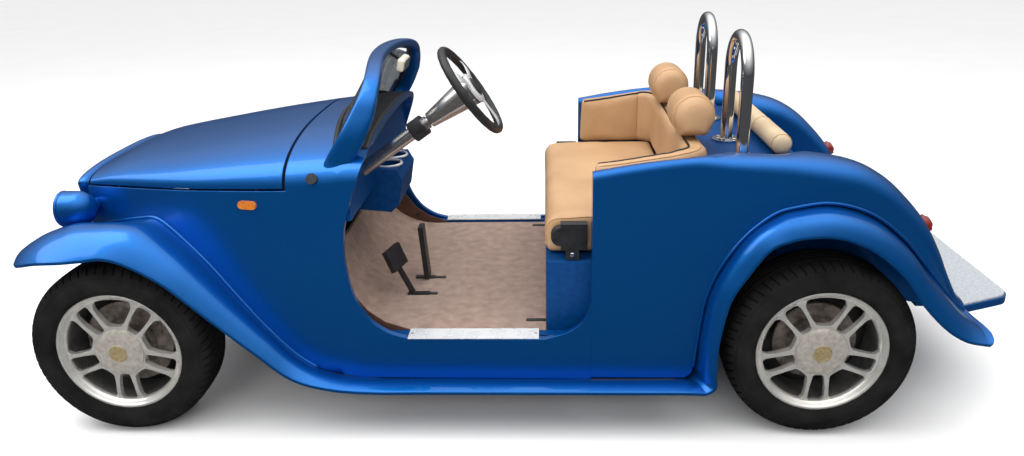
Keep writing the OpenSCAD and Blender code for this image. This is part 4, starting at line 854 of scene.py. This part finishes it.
def blown(name, points, faces, surface, voxel, most, fill):
    """Remeshes the piece, blows it up as cloth and keeps each point within the stated movement."""
    piece = add_mesh(name, points, faces, surface)
    remesh = piece.modifiers.new("remesh", "REMESH")
    remesh.mode, remesh.voxel_size, remesh.use_smooth_shade = "VOXEL", voxel / 1000, True
    applied(piece)
    before = np.array([v.co[:] for v in piece.data.vertices])
    cloth = piece.modifiers.new("cloth", "CLOTH")
    cloth.settings.quality, cloth.settings.mass = 5, 0.3
    cloth.settings.use_pressure, cloth.settings.uniform_pressure_force = True, PRESSURE
    cloth.settings.effector_weights.gravity = 0
    cloth.collision_settings.use_collision = False
    cloth.point_cache.frame_start, cloth.point_cache.frame_end = 1, CLOTH_FRAMES
    for k in range(1, CLOTH_FRAMES + 1):
        bpy.context.scene.frame_set(k)
    shape = piece.evaluated_get(bpy.context.evaluated_depsgraph_get()).data
    moved = np.array([v.co[:] for v in shape.vertices]) - before
    size = np.maximum(np.linalg.norm(moved, axis=1), 1e-9)[:, None]
    after = before + moved * np.minimum(1, most / 1000 / size)
    piece.modifiers.clear()
    bpy.context.scene.frame_set(1)
    piece.data.vertices.foreach_set("co", after.ravel())
    smooth = piece.modifiers.new("smooth", "SMOOTH")
    smooth.factor, smooth.iterations = 0.5, 4
    applied(piece)
    piece.modifiers.new("finer", "SUBSURF").levels = 1
    piece.modifiers["finer"].render_levels = 1
    smoothed(piece.data)
    return piece


def on_surface(piece, line, out=0.0):
    """Points of a line moved to the nearest spot on a piece, then out along its normal, all in millimetres."""
    tree = BVHTree.FromObject(piece, bpy.context.evaluated_depsgraph_get())
    made = []
    for p in metres(line):
        spot, normal, _, _ = tree.find_nearest(Vector(p))
        spot = spot + normal * (out / 1000)
        made.append((spot.x * 1000 + MIDDLE_X, spot.y * 1000, spot.z * 1000))
    return made


def groove(piece, line, width, depth):
    """Presses a seam into a padded piece along a line."""
    route = metres(line)
    mesh = piece.data
    co = np.array([v.co[:] for v in mesh.vertices])
    normal = np.array([v.normal[:] for v in mesh.vertices])
    near = np.full(len(co), 1e9)
    for a, b in zip(route[:-1], route[1:]):
        d = b - a
        t = np.clip(((co - a) @ d) / max(d @ d, 1e-12), 0, 1)
        near = np.minimum(near, np.linalg.norm(co - (a + t[:, None] * d), axis=1))
    press = depth / 1000 * np.exp(-(near * 1000 / width) ** 2)
    mesh.vertices.foreach_set("co", (co - normal * press[:, None]).ravel())


SEAT_BOX_Z, SEAT_FRONT_X = 478.0, 728.0
CUSHION_W = BODY_W - 62 - 39


def seam(name, lines, radius, closed=False):
    """Piping along lines on a pad."""
    add_mesh(name, *joined([tube(line, radius, 8, closed) for line in lines]), PIPING)


def bolster(profile, y0, y1, edge, steps=9):
    """Points and faces of a side outline drawn along y, its ends rounded over by an edge."""
    profile = np.asarray(profile, float)
    way = np.roll(profile, -1, axis=0) - np.roll(profile, 1, axis=0)
    normal = np.stack([way[:, 1], -way[:, 0]], 1)
    normal /= np.linalg.norm(normal, axis=1)[:, None]
    if np.sum(normal * (profile - profile.mean(axis=0))) < 0:
        normal = -normal
    a = np.linspace(0.12, 1, steps) * math.pi / 2
    turns = [(y0 + edge * (1 - math.cos(v)), edge * (1 - math.sin(v))) for v in a]
    middle = [(y, 0.0) for y in np.linspace(y0 + edge, y1 - edge, 30)[1:-1]]
    stations = turns + middle + [(y0 + y1 - y, d) for y, d in turns[::-1]]
    rings = [np.insert(profile - normal * d, 1, y, axis=1) for y, d in stations]
    return np.concatenate(rings), tube_faces(len(rings), len(profile))


def round_outline(points, radius, steps=6):
    """Closed outline with each corner turned by its own radius."""
    points, made = np.asarray(points, float), []
    for k, corner in enumerate(points):
        before, after = points[k - 1] - corner, points[(k + 1) % len(points)] - corner
        reach = min(radius[k], np.linalg.norm(before) * 0.49, np.linalg.norm(after) * 0.49)
        start = corner + before / np.linalg.norm(before) * reach
        end = corner + after / np.linalg.norm(after) * reach
        made += [start * (1 - t) ** 2 + corner * 2 * t * (1 - t) + end * t * t for t in np.linspace(0, 1, steps)]
    return np.array(made)


def make_cushion():
    z0, z1, x1 = SEAT_BOX_Z + 4, SEAT_BOX_Z + 115, SEAT_FRONT_X + 7
    profile = round_outline([(346, z0), (x1 - 8, z0), (x1, z0 + 30), (x1 - 1, z1 - 8), (600, z1), (346, z1 - 3)],
                            (10, 16, 20, 62, 60, 12), 9)
    points, faces = bolster(profile, -CUSHION_W + 3, CUSHION_W - 3, 18)
    cushion = blown("seat_cushion_pad", points, faces, VINYL, 8, 5, 0.7)
    stand_for(cushion, "seat_cushion")
    front = [(x1 + 3, y, z0 + 22) for y in np.linspace(-CUSHION_W + 12, CUSHION_W - 12, 60)]
    lines = [front] + [[(x, side * (CUSHION_W - 5), z) for x, z in profile[18:-9]] for side in (1, -1)]
    seam("cushion_seams", [on_surface(cushion, line, 0.5) for line in lines], 1.7)


BACK_Z0, BACK_TOP_Z, BACK_REAR_Z, BACK_X0, BACK_X1 = 583.0, 744.0, 774.0, 292.4, 612.0
BACK_W, ARM_T, BACK_T = BODY_W - 66, 52.0, 70.0
HEADREST_X, HEADREST_Y, HEADREST_W, HEADREST_R = 322.0, BODY_W - 62 - 231, 196.0, 62.0


def back_top(x):
    """Height of the backrest's top, which rises to the rear."""
    return np.interp(x, (HEADREST_X + HEADREST_R, BACK_X1 - 30), (BACK_REAR_Z, BACK_TOP_Z))


def make_back():
    inset, corner = ARM_T / 2, 78.0
    arc = [(BACK_X0 + BACK_T / 2 + corner * (1 - math.sin(v)), BACK_W - inset - corner * (1 - math.cos(v)))
           for v in np.linspace(0, math.pi / 2, 12)]
    half = [(x, BACK_W - inset) for x in np.linspace(BACK_X1 - 6, arc[0][0] + 12, 14)] + arc
    half += [(arc[-1][0], y) for y in np.linspace(arc[-1][1] - 20, 0, 16)]
    path = np.array(half + [(x, -y) for x, y in half[-2::-1]])
    along = np.gradient(path, axis=0)
    along /= np.linalg.norm(along, axis=1)[:, None]
    out = np.stack([-along[:, 1], along[:, 0]], 1)
    t = circle(28)
    rings = []
    n = len(path)
    for k, (spot, way) in enumerate(zip(path, out)):
        turn = min(k, n - 1 - k)
        share = min(1, max(0, (turn - 13) / 12))
        thick = (ARM_T + (BACK_T - ARM_T) * share) / 2 - 4
        end = (0.75, 0.95)[turn] if turn < 2 else 1.0
        tall = (back_top(spot[0]) - BACK_Z0) / 2 - 3
        y = power(np.cos(t), 0.4) * thick * (0.6 + 0.4 * end)
        z = power(np.sin(t), 0.25) * tall * (0.8 + 0.2 * end)
        lean = (z + tall) / (2 * tall) * 6 * max(0, 1 - turn / 8)
        middle_z = (BACK_Z0 + back_top(spot[0])) / 2
        rings.append(np.stack([spot[0] + way[0] * y - lean, spot[1] + way[1] * y, middle_z + z], 1))
    back = blown("seat_back_pad", np.concatenate(rings), tube_faces(n, 28), VINYL, 7, 4, 0.7)
    stand_for(back, "seat_back")
    lines = []
    for side in (1, -1):
        for x, y in ((BACK_X0 + BACK_T + 40, BACK_W - ARM_T + 2), (BACK_X0 + BACK_T + 2, BACK_W - ARM_T - 60)):
            upright = [(x, side * y, z) for z in np.linspace(BACK_Z0 + 8, BACK_REAR_Z - 10, 30)]
            groove(back, on_surface(back, upright), 7, 4)
            lines.append(on_surface(back, upright, 0.2))
    inner_line = [(x, y, back_top(x) - 3) for x, y in path[1:-1] - out[1:-1] * 17]
    lines.append(on_surface(back, inner_line, 0.6))
    seam("back_seams", lines, 1.7)
    outer_line = [(x, y, back_top(x) - 3) for x, y in path[1:-1] + out[1:-1] * 18]
    trim = add_mesh("back_edge_trim", *tube(on_surface(back, outer_line, 1.0), 3.2, 10), BLACK)


def make_headrests():
    a = np.linspace(math.radians(-34), math.radians(214), 40)
    middle_z = BACK_REAR_Z + 58
    r = HEADREST_R - 3
    profile = [(HEADREST_X + r * math.cos(v), middle_z + r * math.sin(v)) for v in a]
    profile += [(HEADREST_X + x, BACK_REAR_Z + 3) for x in np.linspace(-38, 38, 14)]
    loop_angles = np.linspace(-0.5, math.pi + 0.5, 44)
    for word, side in SIDES:
        y = side * HEADREST_Y
        points, faces = bolster(profile, y - HEADREST_W / 2 + 3, y + HEADREST_W / 2 - 3, 40, 12)
        pad = blown("headrest_pad_" + word, points, faces, VINYL, 6, 4, 0.75)
        stand_for(pad, "headrests")
        lines = []
        for d in (-HEADREST_W / 2 + 30, HEADREST_W / 2 - 30):
            loop = [(HEADREST_X + (r + 5) * math.cos(v), y + d, middle_z + (r + 5) * math.sin(v)) for v in loop_angles]
            groove(pad, on_surface(pad, loop), 6, 3)
            lines.append(on_surface(pad, loop, 0.3))
        seam("headrest_seams_" + word, lines, 1.5)


ROLL_X, ROLL_Z, ROLL_W, ROLL_R = 90.0, 761.0, 334.0, 29.0


def make_bag_roll():
    y = np.concatenate([np.linspace(-ROLL_W, 16 - ROLL_W, 7), np.linspace(-300, 300, 31),
                        np.linspace(ROLL_W - 16, ROLL_W, 7)])
    edge = np.clip((ROLL_W - np.abs(y)) / 18, 0, 1)
    r = ROLL_R * np.sqrt(np.maximum(0.03, 1 - (1 - edge) ** 2))
    path = np.stack([np.full_like(y, ROLL_X), y, np.full_like(y, ROLL_Z)], 1)
    roll = blown("bag_roll_pad", *tube(path, r, 24), ROLL_VINYL, 6, 3, 0.85)
    stand_for(roll, "bag_roll")
    out = ROLL_R + 5
    rings = [[(ROLL_X + out * math.cos(v), s, ROLL_Z + out * math.sin(v)) for v in circle(32)]
             for s in (-322, -110, 110, 322)]
    for line in rings:
        groove(roll, line + line[:1], 6, 2.5)
    seam("roll_seams", [on_surface(roll, line, 0.2) for line in rings], 1.6, closed=True)


make_cushion()
make_back()
make_headrests()
make_bag_roll()

# Small fittings

def dome(spot, way, radius, height, sides=14):
    """Round-headed screw or bolt at a spot, facing a direction."""
    way = np.array(way, float) / np.linalg.norm(way)
    a = np.cross(way, (0.2, 0.35, 0.92))
    a /= np.linalg.norm(a)
    b = np.cross(way, a)
    turn = circle(sides)
    rings = []
    for r, h in ((1, -0.4), (1, 0.2), (0.9, 0.6), (0.62, 0.9), (0.3, 0.92), (0.22, 0.6), (0.02, 0.6)):
        rings += [np.array(spot) + way * h * height + radius * r * (a * math.cos(t) + b * math.sin(t)) for t in turn]
    return np.array(rings), tube_faces(7, sides)


def fitting(name, parts, surface):
    made = add_mesh(name, *joined(parts), surface)
    made.data.set_sharp_from_angle(angle=math.radians(35))


def ring_line(centre, radius, steps=48):
    """Level circle of points."""
    a = circle(steps)
    return np.array(centre) + radius * np.stack([np.cos(a), np.sin(a), 0 * a], 1)


CUP, CUP_R = (FRONT_X - 682, 52.0, 642.0), 42.0
KICK_SCREWS = ((FRONT_X - 680, 300), (FRONT_X - 622, 352), (FRONT_X - 580, 440))
HOOP_X, HOOP_Y, HOOP_LEG, BOLT_R, DECK_Z = 200.0, BODY_W - 276, 100.0, 28.0, 734.4
fitting("cup_rings", [tube(ring_line((CUP[0], s * CUP[1], CUP[2] + 1), CUP_R), 4.2, 10, True) for s in (1, -1)],
        PLATE)
fitting("kick_screws", [dome((x, s * (BODY_W - 66.4), z), (0, -s, 0), 6, 3.4)
                        for s in (1, -1) for x, z in KICK_SCREWS], BLACK)
fitting("sill_screws", [dome((x, s * (BODY_W - 32), SILL_Z + 3.2), (0, 0, 1), 4, 2)
                        for s in (1, -1) for x in (758, 1098)], CHROME)
fitting("hoop_bolts", [dome((HOOP_X + BOLT_R * math.cos(a), s * HOOP_Y + leg + BOLT_R * math.sin(a), DECK_Z), (0, 0, 1),
                            6, 4, 6)
                       for s in (1, -1) for leg in (-HOOP_LEG, HOOP_LEG) for a in (0.8, 2.35, 3.9, 5.5)],
        CHROME)
fitting("belt_bolts", [dome((SEAT_FRONT_X - 72, s * (BODY_W - 66), SEAT_BOX_Z + 15), (0, s, 0), 8, 4, 6)
                       for s in (1, -1)], CHROME)


def bar(start, end, width, height, edge=2.0):
    """Flat strip between two points on a level, with its upper edges rounded."""
    start, end = np.array(start, float), np.array(end, float)
    along = (end - start) / np.linalg.norm(end - start)
    side, w = np.cross((0, 0, 1), along), width / 2
    half = np.array([(-w, 0), (-w, height - edge), (-w + edge, height), (w - edge, height), (w, height - edge), (w, 0)])
    rings = [spot + along * move + np.outer(half[:, 0] * share, side) + np.outer(half[:, 1] * share, (0, 0, 1))
             for spot, move, share in ((start, 0, 0.7), (start, edge, 1), (end, -edge, 1), (end, 0, 0.7))]
    return np.concatenate(rings), tube_faces(4, 6)


FLOOR_Z = 264.0
fitting("floor_strips", [bar((x, y, FLOOR_Z), (x + length, y, FLOOR_Z), 13, 4) for x, y, length in
                         ((730, 382, 56), (730, -410, 50), (1064, 200, 26), (1052, 75, 38))], BLACK)

# Steering wheel

COLUMN_SLOPE, STEER = math.radians(35), np.array([FRONT_X - 968, BODY_W - 265, 905.0])
STEER_R, STEER_RIM_R = 130.0, 12.0


def on_column(points):
    """Points laid out about the column's axis, their last value running down the column."""
    down = np.array([math.cos(COLUMN_SLOPE), 0, -math.sin(COLUMN_SLOPE)])
    up = np.array([math.sin(COLUMN_SLOPE), 0, math.cos(COLUMN_SLOPE)])
    points = np.asarray(points, float)
    return STEER + points[:, :1] * up + points[:, 1:2] * np.array([0, 1, 0]) + points[:, 2:] * down


def make_steering():
    ring = ring_line((0, 0, 0), STEER_R, 96)
    points, faces = tube(ring, STEER_RIM_R - 0.5 * (np.cos(24 * circle(96)) > 0.6), 18, closed=True)
    rim = add_mesh("steering_rim", on_column(points), faces, BLACK, "steering")
    stand_for(rim, "steering_wheel")
    parts = []
    t = np.linspace(0, 1, 16)
    reach = 26 + (STEER_R - 30) * t
    width = 17 - 7 * np.sin(math.pi * np.minimum(1, t * 1.15)) + 3 * t ** 6
    depth = -12 + 8 * np.clip((t - 0.72) / 0.28, 0, 1) ** 2
    corner = [(-1, -0.4), (-0.8, -1), (0.8, -1), (1, -0.4), (1, 0.4), (0.8, 1), (-0.8, 1), (-1, 0.4)]
    for turn in (0, math.radians(120), math.radians(240)):
        rings = np.array([(r, w * u, d + 2 * v) for r, w, d in zip(reach, width, depth) for u, v in corner])
        rings[:, :2] = turned(rings[:, :2], turn)
        parts.append((rings * (-1, 1, 1), tube_faces(16, 8)))
    boss = [(0.1, -17), (30, -17), (42, -15.6), (45.5, -13), (46, -9), (45, -6.4), (0.1, -6.4)]
    points, faces = revolve(boss, 64)
    parts.append((points[:, [0, 2, 1]], faces))
    points, faces = joined(parts)
    spokes = add_mesh("steering_spokes", on_column(points), faces, PLATE, "steering")
    spokes.data.set_sharp_from_angle(angle=math.radians(40))
    stand_for(spokes, "steering_wheel")
    points, faces = revolve([(0.1, -23), (14, -22.4), (24, -20.4), (28, -18), (28.6, -16.4), (0.1, -16)], 56)
    cap = add_mesh("horn_cap", on_column(points[:, [0, 2, 1]]), faces, BLACK, "steering")


make_steering()

# The CAD nodes that stay get a weld, a small round on their edges and their finish

FINISH = {
    PAINT: ["step_ledge"],
    # The inner parts take the body's blue darkened as painted shade
    SHADED_INNER_PAINT: ["dash", "console", "seat_box", "sill_beams", "rear_deck"],
    SATIN_BLACK: ["frame", "front_axle", "front_springs", "rear_springs"],
    CAST_AND_SHADE: ["rear_axle", "drive_motor", "tie_rod", "knuckle_left", "knuckle_right"],
    BLACK: ["battery_pack", "column_switch", "brake_pedal", "accelerator", "belt_retractors",
            "cowl_plugs", "hood_buffers"],
    CARPET: ["floor"], BROWN: ["kick_panels"], PLATE: ["sill_plates"], STIPPLE: ["step_plate"],
    SATIN_METAL: ["steering_column", "steering_hub"], CHROME: ["grille", "roll_hoops"],
    GLASS: ["windshield_glass"], AMBER: ["side_lamps"], RED: ["tail_lamps"],
}
ROUNDING = {"seat_box": 10, "console": 9, "dash": 5, "belt_retractors": 9, "step_ledge": 8, "rear_deck": 5,
            "brake_pedal": 4, "accelerator": 4, "windshield_glass": 0.5, "floor": 3, "sill_plates": 1, "step_plate": 2}
for surface, names in FINISH.items():
    for name in names:
        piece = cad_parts[name]
        piece.data.materials.clear()
        piece.data.materials.append(surface)
        weld = piece.modifiers.new("weld", "WELD")
        weld.merge_threshold = 0.00001
        rounded(piece, ROUNDING.get(name, 1.5), 3, 40)

# Stage, light and camera

STAGE_W = 40.0


def stage_sheet(name, z, surface):
    """Wide level square, in metres."""
    mesh = bpy.data.meshes.new(name)
    corners = [(x * STAGE_W, y * STAGE_W, z) for x, y in ((-1, -1), (1, -1), (1, 1), (-1, 1))]
    mesh.from_pydata(corners, [], [(0, 1, 2, 3)])
    mesh.materials.append(surface)
    made = bpy.data.objects.new(name, mesh)
    bpy.context.collection.objects.link(made)
    return made


PALE = material("pale_floor", (0.86, 0.86, 0.86), (0.88, 0.88, 0.88), mix_scale=2, roughness=0.9)
DARK = material("dark_ground", (0.02, 0.02, 0.022), (0.03, 0.03, 0.032), mix_scale=2, roughness=0.9)
studio_floor = stage_sheet("studio_floor", 0, PALE)
# What the paint mirrors below the horizon: darker ground, seen in reflections alone
dark_ground = stage_sheet("dark_ground", 0.001, DARK)
dark_ground.visible_camera = dark_ground.visible_diffuse = dark_ground.visible_shadow = False
dark_ground.visible_transmission = False

scene = bpy.context.scene
scene.view_settings.view_transform = "Standard"
world = bpy.data.worlds.new("studio")
scene.world = world
world.use_nodes = True
sky = world.node_tree
height = node(sky, "ShaderNodeSeparateXYZ", [("Vector", node(sky, "ShaderNodeTexCoord").outputs["Generated"])])
glow = node(sky, "ShaderNodeValToRGB", [("Fac", height.outputs["Z"])])
glow.color_ramp.elements[0].position, glow.color_ramp.elements[0].color = 0.0, (0.05, 0.055, 0.06, 1)
glow.color_ramp.elements[1].position, glow.color_ramp.elements[1].color = 0.92, (1.78, 1.78, 1.78, 1)
for place, shade in ((0.3, 0.24), (0.6, 0.75)):
    glow.color_ramp.elements.new(place).color = (shade, shade, shade, 1)
sky.links.new(glow.outputs["Color"], sky.nodes["Background"].inputs["Color"])
sky.nodes["Background"].inputs["Strength"].default_value = 1.0


def area_light(name, place, target, size, watts):
    data = bpy.data.lights.new(name, "AREA")
    data.shape, data.size, data.size_y, data.energy = "RECTANGLE", size[0], size[1], watts
    lamp = bpy.data.objects.new(name, data)
    bpy.context.collection.objects.link(lamp)
    lamp.location = place
    lamp.rotation_mode = "QUATERNION"
    lamp.rotation_quaternion = (Vector(target) - Vector(place)).to_track_quat("-Z", "Y")
    return lamp


area_light("overhead", (0.2, 0.6, 4.2), (0.1, 0, 0.3), (8.0, 5.5), 200).visible_glossy = False
area_light("front_glow", (2.9, 0.5, 3.6), (1.2, 0, 0.5), (2.6, 3.6), 62)
area_light("near_side", (0.5, 4.6, 2.4), (0.1, 0, 0.4), (4.0, 1.6), 70).visible_glossy = False

# Camera found from the photo: its place in metres, its angles, and its focal length in the picture's pixels
EYE = (0.724 - MIDDLE_X / 1000, 2.485, 1.325)
YAW, PITCH, ROLL, FOCAL_PX, IMAGE_W, SENSOR_W = 0.046, 0.354, -0.0225, 814.0, 1024, 36
forward = Vector((math.sin(YAW) * math.cos(PITCH), -math.cos(YAW) * math.cos(PITCH), -math.sin(PITCH)))
level = forward.cross(Vector((0, 0, 1))).normalized()
above = level.cross(forward)
right = level * math.cos(ROLL) + above * math.sin(ROLL)
up = above * math.cos(ROLL) - level * math.sin(ROLL)
camera = bpy.data.cameras.new("camera")
camera.sensor_fit, camera.sensor_width, camera.lens = "HORIZONTAL", SENSOR_W, FOCAL_PX * SENSOR_W / IMAGE_W
camera_piece = bpy.data.objects.new("camera", camera)
bpy.context.collection.objects.link(camera_piece)
rows = [(right[k], up[k], -forward[k], EYE[k]) for k in range(3)]
camera_piece.matrix_world = Matrix(rows + [(0, 0, 0, 1)])
scene.camera = camera_piece
